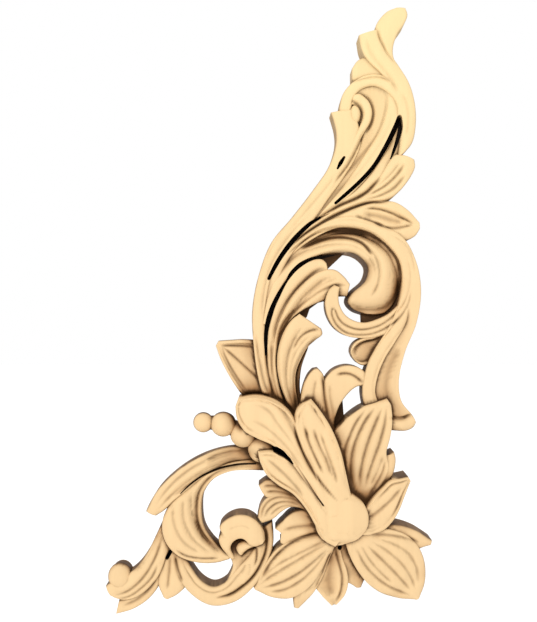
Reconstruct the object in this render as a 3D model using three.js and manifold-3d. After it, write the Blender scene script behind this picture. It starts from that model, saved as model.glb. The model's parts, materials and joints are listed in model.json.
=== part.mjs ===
// Carved wood corner applique: one flat-backed piece of openwork scroll carving.
// A leafy arm climbs from an open flower to a crested tip, a large scroll turns back
// inside it, and a smaller scroll with a string of beads runs out to the left.
//
// Frame: +Z up, the front faces -Y, the flat back lies in the plane Y = 0, and the
// origin is on the back behind the flower's cup. Every place below is a pair [x, z] in
// millimetres on the carver's full-size drawing, and every level a height in
// millimetres above the back.
import * as THREE from "three";
import { mergeVertices } from "three/addons/utils/BufferGeometryUtils.js";
import Module from "manifold-3d";

// Driving dimensions, in millimetres.
const HEIGHT = 294; // lowest petal tip to the highest crest tip
const RELIEF = 26; // back to the crown of the flower's cup
const WEB = 4; // thickness of the low webs behind the pierced work
const SLIT_FLOOR = 2; // wood left behind the narrow black slits
const HOOD_GAP_FLOOR = 6; // wood left behind the gap under the hood
const PETAL_SLOT_FLOOR = 22; // wood left under the groove between two petals
const EDGE_ROLL = 1.1; // how far a carved edge is rounded in and down
const OUTSET = 0.7; // how far a carved edge stands outside the line drawn for it
const THINNEST = 1; // least thickness of wood in any leaf
const DOME_ROUND = 8; // height of the rounded part of the cup's dome

// The drawing was set out at these two sizes. A change of HEIGHT or RELIEF stretches it.
const DRAWN_HEIGHT = 294;
const DRAWN_RELIEF = 26;
const sheet = HEIGHT / DRAWN_HEIGHT;
const depth = RELIEF / DRAWN_RELIEF;

// How finely the carving is faceted.
const STEP_ALONG = 9; // millimetres
const FEWEST_STEPS = 5;
const STATIONS_ACROSS = [0, 0.16, 0.5, 0.84, 1];
const MOST_BORDER = 0.28; // share of a leaf's width that its raised border may take
const BORDER_SLOPE = 0.07; // share of the width over which the border falls
const BOSS_TURNS = 12;
const DOME_TURNS = 16;
const BOSS_RINGS = 3;
const WELD = 1e-3; // millimetres

const wasm = await Module();
wasm.setup();

// A smooth value along a piece, from a number or a list of evenly spaced ones.
function along(levels, s) {
  if (typeof levels === "number") return levels;
  const place = s * (levels.length - 1);
  const i = Math.min(Math.floor(place), levels.length - 2);
  const f = place - i;
  return THREE.MathUtils.lerp(levels[i], levels[i + 1], f * f * (3 - 2 * f));
}

// A smooth line through the drawing's points, cut into equal steps.
function rail(points, steps) {
  const line = new THREE.CatmullRomCurve3(
    points.map(([x, z]) => new THREE.Vector3(x * sheet, 0, z * sheet)),
  );
  return line.getSpacedPoints(steps);
}

// A closed solid from a grid of front points: the front, straight walls and a flat back.
function standing(front, floor) {
  const rows = front.length;
  const columns = front[0].length;
  const ring = [];
  for (let j = 0; j < columns; j++) ring.push([0, j]);
  for (let i = 1; i < rows; i++) ring.push([i, columns - 1]);
  for (let j = columns - 2; j >= 0; j--) ring.push([rows - 1, j]);
  for (let i = rows - 2; i > 0; i--) ring.push([i, 0]);
  const places = front.flat().map((p) => [p.x, -p.y, p.z]);
  const foot = places.length;
  for (const [i, j] of ring) places.push([front[i][j].x, -floor, front[i][j].z]);
  const faces = [];
  const at = (i, j) => i * columns + j;
  for (let i = 0; i + 1 < rows; i++) {
    for (let j = 0; j + 1 < columns; j++) {
      faces.push([at(i, j), at(i, j + 1), at(i + 1, j + 1)]);
      faces.push([at(i, j), at(i + 1, j + 1), at(i + 1, j)]);
    }
  }
  ring.forEach(([i, j], k) => {
    const [m, n] = ring[(k + 1) % ring.length];
    const next = foot + ((k + 1) % ring.length);
    faces.push([at(i, j), foot + k, next], [at(i, j), next, at(m, n)]);
  });
  const outline = ring.map(([i, j]) => new THREE.Vector2(front[i][j].x, front[i][j].z));
  const turned = THREE.ShapeUtils.isClockWise(outline);
  for (const [a, b, c] of THREE.ShapeUtils.triangulateShape(outline, [])) {
    faces.push(turned ? [foot + a, foot + b, foot + c] : [foot + a, foot + c, foot + b]);
  }
  const shape = new THREE.BufferGeometry();
  shape.setAttribute("position", new THREE.Float32BufferAttribute(places.flat(), 3));
  shape.setIndex((turned ? faces.map(([a, b, c]) => [a, c, b]) : faces).flat());
  return solid(shape);
}

function solid(shape) {
  const merged = mergeVertices(shape, WELD);
  return new wasm.Manifold(
    new wasm.Mesh({
      numProp: 3,
      vertProperties: new Float32Array(merged.attributes.position.array),
      triVerts: new Uint32Array(merged.index.array),
    }),
  );
}

// A leaf, petal, strand or band between two rails, both running from root to tip.
// rise is its level along the middle, crown how far the middle swells above the edges
// (below zero it is hollow), tilt how far the right edge stands above the left one,
// reeds the number of rounded reeds across it and groove the depth between them, and
// rim a raised border [width, drop inside it].
function blade(left, right, { rise, crown = 0, tilt = 0, reeds = 0, groove = 0.8, rim }) {
  const length = new THREE.CatmullRomCurve3(
    left.map(([x, z]) => new THREE.Vector3(x, 0, z)),
  ).getLength();
  const steps = Math.max(FEWEST_STEPS, Math.round(length / STEP_ALONG));
  const a = rail(left, steps);
  const b = rail(right, steps);
  a.forEach((p, i) => {
    const out = new THREE.Vector3().subVectors(p, b[i]).setLength(OUTSET);
    p.add(out);
    b[i].sub(out);
  });
  const across = (width) => {
    if (reeds) return Array.from({ length: 2 * reeds + 1 }, (_, k) => k / (2 * reeds));
    if (!rim) return STATIONS_ACROSS;
    const border = Math.min(rim[0] / width, MOST_BORDER);
    const half = [0, border / 2, border, border + BORDER_SLOPE];
    return [...half, 0.5, ...half.map((t) => 1 - t).reverse()];
  };
  const front = a.map((p, i) => {
    const s = i / steps;
    const width = p.distanceTo(b[i]);
    return across(width).map((t, k) => {
      const inward = Math.min(t, 1 - t) * width;
      let level = along(rise, s) + along(tilt, s) * (t - 0.5);
      level += along(crown, s) * (1 - (2 * t - 1) ** 2);
      if (reeds) {
        level -= along(groove, s) * (1 - Math.abs(Math.sin(Math.PI * reeds * t)));
      }
      const inBorder = k < 3 || k > 5;
      if (rim && !inBorder) level -= rim[1] * Math.sin(Math.PI * s);
      const roll = Math.max(0, 1 - inward / EDGE_ROLL);
      const y = Math.max(level * depth - EDGE_ROLL * roll * roll, THINNEST);
      return new THREE.Vector3().lerpVectors(p, b[i], t).setY(y);
    });
  });
  return standing(front, 0);
}

// A bead, ball or eye, undercut below its girth, on a narrower foot down to the back.
// Where round is given, a lower dome on a straight foot, with only that height rounded.
function boss([x, z], [rx, rz], top, round) {
  const high = round ?? Math.min(rx, rz) / depth;
  const girth = top - high;
  const turn = Math.PI / 2 / BOSS_RINGS;
  const lowest = round ? 0 : -1;
  const profile = [new THREE.Vector2(0, 0), new THREE.Vector2(Math.cos(lowest * turn), 0)];
  for (let k = lowest; k < BOSS_RINGS; k++) {
    profile.push(new THREE.Vector2(Math.cos(k * turn), girth + high * Math.sin(k * turn)));
  }
  profile.push(new THREE.Vector2(0, top));
  const shape = new THREE.LatheGeometry(profile, round ? DOME_TURNS : BOSS_TURNS);
  shape.rotateX(Math.PI);
  shape.scale(rx * sheet, depth, rz * sheet);
  shape.translate(x * sheet, 0, z * sheet);
  shape.deleteAttribute("normal");
  shape.deleteAttribute("uv");
  return solid(shape);
}

// A low web of wood with an even front, which ties the leaves together at the back.
function web(points, level = WEB) {
  const outline = points.map(([x, z]) => new THREE.Vector2(x * sheet, z * sheet));
  if (THREE.ShapeUtils.isClockWise(outline)) outline.reverse();
  const shape = new THREE.ExtrudeGeometry(new THREE.Shape(outline), {
    depth: level * depth,
    bevelEnabled: false,
  });
  shape.rotateX(Math.PI / 2);
  shape.deleteAttribute("normal");
  shape.deleteAttribute("uv");
  return solid(shape);
}

// A slit to cut away along a path, with blunt ends, down to its floor. Its widths run
// from end to end.
function slit(path, widths, floor) {
  const steps = Math.max(3, (path.length - 1) * 2);
  const middle = rail(path, steps);
  const front = middle.map((p, i) => {
    const before = middle[Math.max(i - 1, 0)];
    const after = middle[Math.min(i + 1, steps)];
    const side = new THREE.Vector3(after.z - before.z, 0, before.x - after.x).normalize();
    const half = along(widths, i / steps) / 2;
    return [-half, half].map((d) =>
      p.clone().addScaledVector(side, d).setY(RELIEF + WEB));
  });
  return standing(front, floor * depth);
}

const pieces = {
  arm: () => blade(
    [[-37, 52], [-42, 68], [-44.6, 86], [-45.2, 103], [-42, 120], [-36, 135.2], [-26.2, 147.2],
      [-15.6, 161], [-8.2, 172], [-4.6, 183], [-4.7, 190], [-7, 198.6]],
    [[-34, 52], [-38, 68], [-40.3, 86], [-40.2, 101], [-38.2, 115], [-34.6, 125.5],
      [-26.8, 137.3], [-18, 145], [-9.5, 156.5], [-2, 167], [2.9, 175], [6.3, 184], [5, 193],
      [2.2, 200]],
    { rise: [10, 12, 14, 14, 14, 13.5, 13.5, 13.5], crown: 1, reeds: 2, groove: 0.6 }),
  hoodHollow: () => blade(
    [[-16, 148], [-5, 163], [3, 174.5], [7.5, 186], [6, 198], [-0.5, 210]],
    [[-11, 147], [3, 166], [12, 180], [17.5, 192], [20, 203], [23, 214]],
    { rise: [13, 12, 11, 11, 12], crown: -1, tilt: 1 }),
  hoodLight: () => blade(
    [[-14, 147.5], [1, 165.5], [10, 179], [16.5, 191], [19, 203], [17.5, 214]],
    [[-8, 149.5], [4, 161], [12.6, 171], [19.4, 181.5], [23.6, 190], [26, 197], [25.5, 208]],
    { rise: [13, 13, 13, 12.8, 12.6], crown: 1.1 }),
  ring: () => blade(
    [[-9, 161], [-3.5, 171.5], [1, 180], [5, 188.5], [7.1, 193], [8, 197.5], [7, 200.8],
      [4.5, 202.6], [2.3, 203]],
    [[-7, 162], [-0.5, 172.5], [4.5, 181.5], [8.3, 189], [10.9, 193.5], [11.9, 198.5],
      [10.3, 203.5], [6.8, 206.9], [3, 206.6]],
    { rise: [13, 14, 14, 14, 13.5], crown: 0.6 }),
  eye: () => boss([4.2, 197.6], [2.8, 4.6], 15),
  band: () => blade(
    [[6.5, 236], [7.8, 229], [11, 223.5], [17, 217.5], [22.5, 210.5], [25.8, 202], [27, 193],
      [26.6, 184], [25.5, 177]],
    [[14.6, 238.4], [17, 231], [20.5, 226.5], [24.8, 220.3], [29.5, 212.5], [32.3, 203],
      [32.9, 193], [31.3, 184], [27.5, 178.5]],
    { rise: [13.5, 14, 14.2, 14.2, 14, 13.5, 12.5], crown: 1 }),
  hood: () => blade(
    [[25, 193], [24.6, 202], [20, 208.5], [13, 211.9], [7, 210.4], [3.3, 206.6], [1.5, 200.5],
      [1, 196]],
    [[28.5, 193], [28.3, 205], [22.5, 213.5], [14, 216.3], [7, 214.9], [2, 211.4], [-1.3, 207],
      [-2.9, 201], [-3.4, 196]],
    { rise: [13.6, 14.4, 14, 13.6, 13.4], crown: 0.6 }),
  crestLow: () => blade(
    [[20.5, 212.6], [15, 215], [9, 214.7], [4.5, 213.5], [2.7, 215.5]],
    [[22, 214.5], [17, 218.3], [12.5, 222.5], [9, 224.6], [5.3, 223.2], [2.7, 219.5]],
    { rise: [12, 12.5, 12.5, 12], crown: 0.5 }),
  crestTip: () => blade(
    [[22.5, 213], [20, 222], [17, 229.6], [15, 235.3], [14.6, 239.6], [16.6, 243.6],
      [20.5, 247.6], [25, 249.6]],
    [[28, 213], [24.3, 220.5], [22, 226], [22, 231], [24, 236.7], [27.6, 242.3], [29, 246.5],
      [28, 249.5]],
    { rise: [13, 13.5, 13.3, 13, 12.5], crown: 0.8 }),
  armStrip: () => blade(
    [[-5, 153.6], [4, 159.8], [12.6, 169], [19, 179], [23.4, 188], [26, 195.5]],
    [[-3, 151.5], [8, 157], [15, 163], [20.3, 171], [25, 179], [28, 190]],
    { rise: [13, 12.5, 12, 10.5, 9], crown: 0.6 }),
  armLobe: () => blade(
    [[-36, 120], [-27.5, 135.2], [-14, 147.4], [-1, 154], [8.5, 159.3], [15.5, 165.5],
      [20, 172.5], [24, 177.5], [29, 177.5]],
    [[-35, 119], [-25, 133.5], [-12, 143.5], [2, 151], [12, 154], [18.5, 155.2], [25, 159.8],
      [30, 166], [33.4, 172], [32.6, 176]],
    { rise: [12, 12, 12.2, 12.5, 13, 12.5], crown: 1, reeds: 3 }),
  scrollLeaf: () => blade(
    [[-34, 122], [-24, 135], [-9, 146], [4, 151.7], [14, 154.6], [23, 154.3], [30, 150.1],
      [35.4, 144.3]],
    [[-33, 121], [-22, 134], [-6, 143], [6, 144], [13, 142.5], [20, 139], [27, 136.6],
      [33, 139], [35.5, 142.6]],
    { rise: [11, 11.5, 12.5, 14, 14, 13.5], crown: 0.6, rim: [2.6, 1.6] }),
  scrollBand: () => blade(
    [[-40.6, 97], [-38.5, 108], [-33.5, 122], [-26, 132.5], [-15, 141.5], [0, 147.5],
      [14, 144.5], [27, 137], [33.3, 125], [35.4, 111], [33.2, 96], [27.7, 82], [24.7, 68],
      [26, 58], [31, 51.5]],
    [[-39, 97], [-36.8, 107], [-31.5, 119.5], [-24.5, 129.5], [-14, 138.3], [0, 143.2],
      [11, 141.1], [20, 134.3], [25.7, 126.5], [27.2, 116], [25.3, 105], [20.5, 94], [14, 83],
      [9.5, 73], [8, 64], [9.5, 54], [14, 46]],
    { rise: [11, 12, 13, 14.3, 15, 15, 14.5, 14, 13],
      crown: [0.3, 0.5, 0.8, 1, 1, 0.5, -1.4, -2.2, -1] }),
  stemLip: () => blade(
    [[29.7, 104], [28.5, 97], [23, 87.5], [17.5, 78.5], [14.2, 70], [13.2, 62], [15.5, 55]],
    [[27, 106], [23, 95], [17, 87], [11.5, 78], [9, 70], [8, 62], [10, 53]],
    { rise: [14.5, 15, 15, 14.5], crown: 0.5 }),
  foot: () => blade(
    [[18, 51], [24, 49.8], [28, 50], [31, 51.7], [32.8, 50]],
    [[18, 45], [24, 44.4], [29, 44.4], [32.4, 46], [33.6, 48.2]],
    { rise: [12, 12.5, 12], crown: 2 }),
  scrollBall: () => blade(
    [[-40.8, 96], [-37.6, 111], [-30.6, 124.2], [-21, 133.2], [-8, 139.6], [6, 139.8],
      [17.5, 134.8], [24.6, 126], [26.4, 116], [24.3, 107], [19, 101.5], [14.5, 100.3]],
    [[-38.5, 95], [-34.9, 108], [-27.8, 120.2], [-18, 128.3], [-5, 131.6], [5, 130],
      [10, 123.8], [8.6, 117], [2, 110.3], [0.7, 106.5], [3.5, 102.7], [10, 100.4]],
    { rise: [10.5, 10.5, 10, 9, 8.5, 9.5, 9.5, 9],
      crown: [1, 1, 1.5, 2.5, 4.5, 5.5, 5.5, 1], tilt: [1, 2, 4, 6, 7, 3, 1, 0] }),
  trough: () => blade(
    [[-30, 129], [-14, 141], [2, 145.5], [17, 139], [27.5, 126], [28.5, 112], [24, 100],
      [16, 95], [8, 94.7]],
    [[-28, 124], [-14, 134], [0, 137], [12, 133], [20, 124], [22, 114], [19, 106], [14, 102],
      [7.7, 101.5]],
    { rise: 5 }),
  innerLeafUpper: () => blade(
    [[-36, 50], [-39, 66], [-39.2, 80], [-38, 93], [-35.2, 104.5], [-30.5, 114], [-25, 121.3],
      [-18, 125.6], [-12, 126.5], [-9.6, 124.7]],
    [[-33.5, 50], [-36, 66], [-36, 80], [-34.5, 93], [-30, 104], [-24, 112.5], [-17, 119],
      [-9, 121.8]],
    { rise: [9, 10, 11, 12, 12.5, 12.5, 12], crown: 0.8 }),
  innerLeafMain: () => blade(
    [[-34.5, 50], [-37, 66], [-37, 80], [-35, 93], [-30, 105], [-22, 114.5], [-13, 120.6],
      [-6, 121.4], [-1.5, 118.2], [1.5, 114.4]],
    [[-28, 50], [-32, 62], [-34, 75], [-32.5, 88], [-27.5, 97.5], [-21, 103.3], [-14.5, 106.5],
      [-9, 108.6], [-4, 109.7], [0.5, 109.9]],
    { rise: [9, 10, 10.5, 11, 12, 12, 11.5],
      crown: 1.2, tilt: [0, 0, 0, -1.5, -2.5, -2], reeds: 3, groove: 1 }),
  curlLeaf: () => blade(
    [[-24, 48], [-28.5, 58], [-31.8, 67], [-33.2, 76], [-32.5, 84], [-29.7, 92], [-26, 97.4],
      [-22.3, 100.2]],
    [[-22.5, 50], [-24, 57], [-25.4, 64], [-25.2, 72], [-22.6, 79], [-19.3, 84.6],
      [-15.5, 88.2], [-12.3, 91], [-12.8, 93.8]],
    { rise: [9, 11, 12, 12.5, 12.5, 12], tilt: -2, crown: 0.6, reeds: 2 }),
  sickle: () => blade(
    [[27, 103], [22, 95.3], [15, 90.6], [7, 89.4], [0, 90.5], [-5.7, 94.4], [-9.2, 100.8],
      [-9.7, 107], [-7.7, 112.5], [-5.5, 114.6]],
    [[25, 107], [20.5, 100.5], [15, 97.4], [8.5, 95.8], [3, 96.9], [-1.5, 100], [-4.2, 105],
      [-4.7, 110], [-4, 113.8]],
    { rise: [13, 13.5, 13.5, 13.5, 14, 14], crown: 0.4 }),
  hollowLobe: () => blade(
    [[20, 90.5], [16, 84.5], [11.5, 77.4], [8, 76.1], [5, 77.3], [2.6, 80]],
    [[19, 92], [13, 89.3], [8, 88.2], [4.3, 86.1], [2.4, 83.2], [2.2, 81]],
    { rise: [13, 12.5, 12.3], rim: [1.3, 2.2] }),
  budLeft: () => blade(
    [[-20, 44], [-21.7, 55], [-20.7, 64], [-18, 71], [-15.6, 73.8]],
    [[-6, 44], [-9.5, 56], [-10.9, 66], [-12.3, 71.5], [-14.6, 74]],
    { rise: [13, 14, 14, 13.5], crown: 0.8 }),
  budCurl: () => blade(
    [[-11, 44], [-11.3, 56], [-10.7, 67], [-6.5, 72.7], [0, 75], [5.5, 73.9], [9.3, 71.4],
      [11.5, 68.6]],
    [[-7, 44], [-6.3, 50], [-3.8, 57], [0.5, 62.7], [4.5, 65.8], [7, 66.3], [10.4, 66.2]],
    { rise: [13, 14, 14.5, 14, 13.5], crown: 0.5 }),
  sideLeaf: () => blade(
    [[-42, 51], [-50, 60.3], [-56.4, 69.5], [-61.3, 79], [-63.6, 85.5]],
    [[-36, 80], [-43, 86.3], [-50, 87.3], [-57, 87], [-63, 86.6]],
    { rise: [8, 8.5, 8, 7.5], reeds: 2 }),
  petalLeft: () => blade(
    [[-8, 0], [-14, 12], [-20, 21], [-25.5, 28.5], [-30, 34.2], [-36, 38.6], [-43, 41.6],
      [-49.5, 45.3], [-52.8, 51], [-53.6, 57]],
    [[0, 12], [-10, 18], [-18, 29], [-22.5, 39.5], [-25.3, 48.5], [-29.5, 54.5], [-36, 58.9],
      [-44, 60.7], [-52.6, 59.7]],
    { rise: [24, 24, 23, 22, 21, 20, 19], crown: [2, 2, 2, 1.5, 1, 1], reeds: 3 }),
  petalCentre: () => blade(
    [[-12, 4], [-15, 22], [-21.5, 36], [-25, 47], [-24, 54.5], [-21, 58.2]],
    [[2, 8], [-0.8, 20], [-4.3, 35], [-9, 46.5], [-14.5, 55], [-18.2, 59.5]],
    { rise: [24, 24.5, 23.5, 22, 20], crown: 2, reeds: 3, groove: 1 }),
  petalLow: () => blade(
    [[-6, -9.5], [-11, -6.5], [-15.5, 1], [-20, 8.5], [-26, 15.2], [-33, 19.3], [-38.7, 24.1],
      [-42.3, 30.5]],
    [[4, 6], [-6, 10], [-14, 16], [-21, 24.5], [-26, 29.8], [-31, 32.6], [-37, 34.5], [-43, 34]],
    { rise: [23, 24, 23, 21.5, 20, 19], crown: 1.5 }),
  cup: () => blade(
    [[-7.5, -9.8], [-12.5, -6], [-15, 0], [-14, 7], [-8.5, 13], [-1, 15]],
    [[-2.5, -9.6], [3.8, -6.6], [8, -1.5], [8.9, 4.2], [6.6, 10.4], [1.5, 14.6]],
    { rise: [20, 22.5, 23.5, 23.5, 23], crown: [1, 2.5, 2.5, 2.5, 1] }),
  cupDome: () => boss([-3.1, 2.2], [11.5, 12], DRAWN_RELIEF, DOME_ROUND),
  petalRight: () => blade(
    [[-3, 8], [-4, 22], [-6, 34], [-6.5, 42], [-2.8, 46.6], [1.5, 51], [8, 55.4], [14, 57.3],
      [19.7, 58.9]],
    [[12, 8], [16.5, 17.5], [19.5, 26], [18.3, 34], [20, 41], [21.2, 49], [20.8, 57.2]],
    { rise: [9, 13, 16, 17, 17, 16], crown: 1.4, reeds: 3, groove: 1.1 }),
  petalRightLobe: () => blade(
    [[11, 14], [14.5, 20], [16.8, 27], [18, 31.8], [20, 32.4]],
    [[14, 12.5], [19.6, 18.5], [22.2, 25], [22.9, 30.5], [22.2, 33.4]],
    { rise: [12, 14, 15, 15], crown: 0.5 }),
  petalSide: () => blade(
    [[6, 2], [9.3, 7.5], [13, 12.3], [17.5, 16.8], [21, 19.8], [25.5, 20.8], [29.6, 21.7]],
    [[5, -4], [11, -4.3], [17, -2.3], [21.5, 2], [24.8, 7.5], [27.2, 13.5], [30.2, 20.6]],
    { rise: [22, 20, 19, 18, 17], crown: 0.8 }),
  petalLowRight: () => blade(
    [[8, -2], [18, -3], [27, -6], [33, -11], [36.4, -17.5], [37.8, -25], [37.2, -32],
      [35.1, -37.8]],
    [[-1, -7], [1.5, -15], [6, -23.5], [12, -30.7], [19, -35.1], [27, -37.5], [34.3, -38.3]],
    { rise: [19, 18, 16.5, 15, 13, 11.5], crown: 2, reeds: 3, groove: 1 }),
  petalLowRightLobe: () => blade(
    [[8, -2.5], [18, -1.7], [26, -2.5], [33, -4.9], [38, -7.9], [41.3, -10.2]],
    [[8, -8], [18, -11], [27, -13], [34.3, -13], [37.5, -12], [41, -11.2]],
    { rise: [17, 16, 14.5, 13], crown: 0.8 }),
  petalSmall: () => blade(
    [[8, -9], [9.5, -18], [10, -27], [8, -29.9], [6.6, -33.2]],
    [[-5, -10], [-4.5, -20], [-0.8, -29.7], [2.5, -31.1], [5.8, -33.3]],
    { rise: [14, 12.5, 11, 10.5], crown: 0.5 }),
  petalBottom: () => blade(
    [[-4.5, -9], [-3, -17], [-0.6, -24], [0.2, -30], [-1.4, -36.3], [-5.6, -41.5]],
    [[-8.5, -9], [-10, -18], [-12, -26], [-14.6, -31.6], [-11.5, -36.5], [-6.4, -41.7]],
    { rise: [16, 14, 12.5, 12], crown: -1.4 }),
  petalLowLeft: () => blade(
    [[-6, -10], [-10.5, -19], [-15.5, -27.5], [-22, -34.4], [-29, -37.4], [-37, -36.9],
      [-44.5, -34]],
    [[-10, -5], [-18, -6.5], [-26, -9.3], [-33, -13.6], [-38.2, -20], [-42.4, -26.5],
      [-45.2, -33]],
    { rise: [17, 16, 15, 13.5, 12, 10], crown: 1.8, reeds: 3, groove: 1 }),
  petalLowLeftLobe: () => blade(
    [[-6.5, -11], [-9.5, -20], [-13, -28.8], [-16.5, -34.6], [-20.5, -39.3], [-24, -43]],
    [[-14, -12], [-20, -24], [-24.8, -33], [-25.4, -38], [-24.9, -42.8]],
    { rise: [16, 14.5, 13, 11.5], crown: 0.5 }),
  petalShoulder: () => blade(
    [[-8, -8], [-17, -11], [-25, -12.5], [-31.5, -9.2], [-34, -6]],
    [[-12, 3], [-18.5, 4.9], [-25, 4.1], [-30, 0.9], [-34.2, -5]],
    { rise: [16, 15, 14, 13.5], crown: 0.8 }),
  tuftUpper: () => blade(
    [[-20, 6], [-28, 9.5], [-35, 12], [-38.8, 12], [-41.5, 14.8]],
    [[-22, 14], [-29, 18], [-35.5, 20.2], [-39.5, 19], [-42.5, 16.8]],
    { rise: [15, 14, 13.5], crown: 0.8, reeds: 2 }),
  tuftLower: () => blade(
    [[-18, 4.5], [-23, 7.2], [-28, 7.4], [-32, 5.2], [-36, 1.7], [-41.6, -0.7]],
    [[-18, 9], [-26, 12.6], [-33, 13], [-38.6, 10.6], [-41.6, 6.5], [-43, 1.2]],
    { rise: [15, 14.5, 14, 13], crown: 0.8, reeds: 3, groove: 0.9 }),
  headWeb: () => web([[-8, 150], [-5, 164], [1, 177], [1.5, 203], [7, 211], [16, 214],
    [24, 208], [29, 198], [30, 188], [26, 178.5], [20, 170], [8, 156]]),
  armWeb: () => web([[-43, 84], [-43, 105], [-40, 120], [-34, 133], [-24, 143], [-12, 151],
    [-8, 142], [-14, 131], [-20, 127], [-17, 121], [-26, 111], [-31, 101], [-35, 83]]),
  curlWeb: () => web([[-22, 122], [-19, 129.5], [-10, 132], [-3, 132.5], [-0.8, 130.2],
    [-9, 122.5], [-16, 120]]),
  leafWeb: () => web([[-28, 48], [-32, 60], [-35, 75], [-34, 89], [-29, 98], [-22, 104.5],
    [-12, 109], [-9.6, 107], [-13.5, 106], [-17.6, 103], [-19, 99], [-27, 92], [-30, 80],
    [-29, 64], [-23, 52]]),
  budWeb: () => web([[-9, 42], [-8, 58], [-3, 61], [-1.4, 59], [-1, 54], [-0.6, 49], [3, 42]]),
  gapWeb: () => web([[-37, 27], [-38, 40], [-24, 42], [-20, 26]]),
  beadOne: () => boss([-70, 47.4], [4.95, 4.95], 13),
  beadTwo: () => boss([-60.2, 46.6], [6.1, 6.1], 15),
  beadThree: () => boss([-50.3, 41.6], [6.4, 6.4], 15.5),
  beadFour: () => boss([-41.3, 34.3], [6.8, 6.8], 16),
  beadCord: () => blade(
    [[-71, 45.2], [-60, 44], [-50, 39], [-41, 31.5], [-36, 28]],
    [[-70, 49.2], [-58.5, 48.5], [-49, 43.8], [-39.5, 36], [-34, 32]],
    { rise: 9 }),
  scrollArch: () => blade(
    [[-38, 27], [-50, 27.4], [-60, 26], [-69, 22], [-78, 15], [-84.5, 9.8], [-89, 5.6],
      [-93.5, 2.6]],
    [[-38, 35], [-50, 35], [-62, 33.4], [-73, 29.3], [-83.2, 22.6], [-91, 15], [-95.6, 7.5],
      [-97, 4.2]],
    { rise: [5, 8.5, 12, 12.8, 12.5], crown: 1.4, reeds: 3, groove: 0.9 }),
  scrollFat: () => blade(
    [[-38, 24], [-48, 24.2], [-57.6, 23.2], [-65.8, 19.2], [-70.4, 12.4], [-71.2, 4.5],
      [-70, -3.5], [-66, -10], [-61, -14.6], [-56.8, -17.6]],
    [[-38, 27.2], [-48, 27.8], [-60, 25.8], [-70, 21], [-79, 14.4], [-86.5, 6.5], [-89.2, -1.5],
      [-87.7, -9.8], [-81.8, -16.6], [-72, -20], [-63, -20.2], [-57, -18.6]],
    { rise: [8, 9, 10, 11, 11.5, 11.5, 11],
      crown: [0.5, 0.5, 1, 3.4, 4, 3.4, 1], tilt: [1, 1, 1.5, 2.5, 2.5, 2, 0], reeds: 3 }),
  tail: () => blade(
    [[-85, -8], [-88, -17], [-91, -25], [-96, -32], [-103, -37], [-110, -38.3], [-115.4, -36]],
    [[-89, 0], [-92.6, -8], [-96.8, -16.5], [-101.5, -23], [-106.5, -27], [-111.5, -28.5],
      [-117, -32.6]],
    { rise: [9, 10.5, 11.5, 12, 12], crown: 1.4, reeds: 2, groove: 0.9 }),
  tailTip: () => blade(
    [[-89, -22], [-91.8, -31.4], [-96.7, -38], [-104.2, -43], [-112.4, -45.5]],
    [[-92, -20], [-96, -29], [-102, -35], [-108, -38.6], [-111.2, -40]],
    { rise: [9, 10, 10.5, 10.5], crown: 0.5 }),
  tailBall: () => boss([-110.6, -28], [6, 6.6], 14.5),
  dropLeaf: () => blade(
    [[-82, -14], [-82.8, -21], [-80.6, -27], [-78.7, -31.4], [-83, -36.3], [-87.9, -38.9]],
    [[-87, -14], [-88.5, -21], [-90.9, -27], [-91.2, -32], [-88.8, -38.4]],
    { rise: [9, 10, 10.5, 10], crown: 0.8, reeds: 2 }),
  bottomRibbon: () => blade(
    [[-80.5, -15], [-76.5, -23], [-71, -30], [-65, -32.9], [-59.5, -31], [-54, -25], [-47, -18],
      [-42.5, -11], [-41, -4]],
    [[-85.5, -16], [-83, -25], [-76.7, -34.4], [-66, -40.8], [-54.8, -39], [-45.6, -31.8],
      [-39.3, -22], [-36.3, -11], [-36.8, -1]],
    { rise: [9, 11, 12, 12.5, 12, 11.5, 10.5], crown: 1 }),
  curlBody: () => blade(
    [[-60, -33], [-56, -26], [-54.8, -21.5], [-57, -16.5], [-59.8, -12]],
    [[-46, -32], [-41, -24], [-39.5, -16], [-40.5, -10], [-42, -8]],
    { rise: [12, 12.5, 11.5, 9], crown: -1 }),
  curlCap: () => blade(
    [[-56.8, -18.5], [-60.8, -12.5], [-61.8, -8.8], [-60.6, -5.6], [-61.4, -3.4], [-58.6, 0.2],
      [-53.5, 2.6], [-48, 2.3], [-43.3, -1], [-40.4, -6], [-40, -9.7]],
    [[-54.7, -18.5], [-57, -13.2], [-56, -10], [-53.5, -8], [-51, -7.6], [-49, -8.6],
      [-47, -10.6], [-44.5, -11.5], [-41, -10.8]],
    { rise: [11, 13, 14.5, 15, 15, 14], crown: 1.2 }),
  curlHeart: () => blade(
    [[-46.5, -26], [-43.8, -20.5], [-44, -15], [-47, -12.4], [-50, -13], [-51.8, -15.4]],
    [[-49.5, -25], [-47, -20], [-46.6, -17], [-47.6, -16], [-49, -16.2], [-50, -17.4]],
    { rise: [11.5, 12.5, 13, 12.5], crown: 0.8 }),
};

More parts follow.
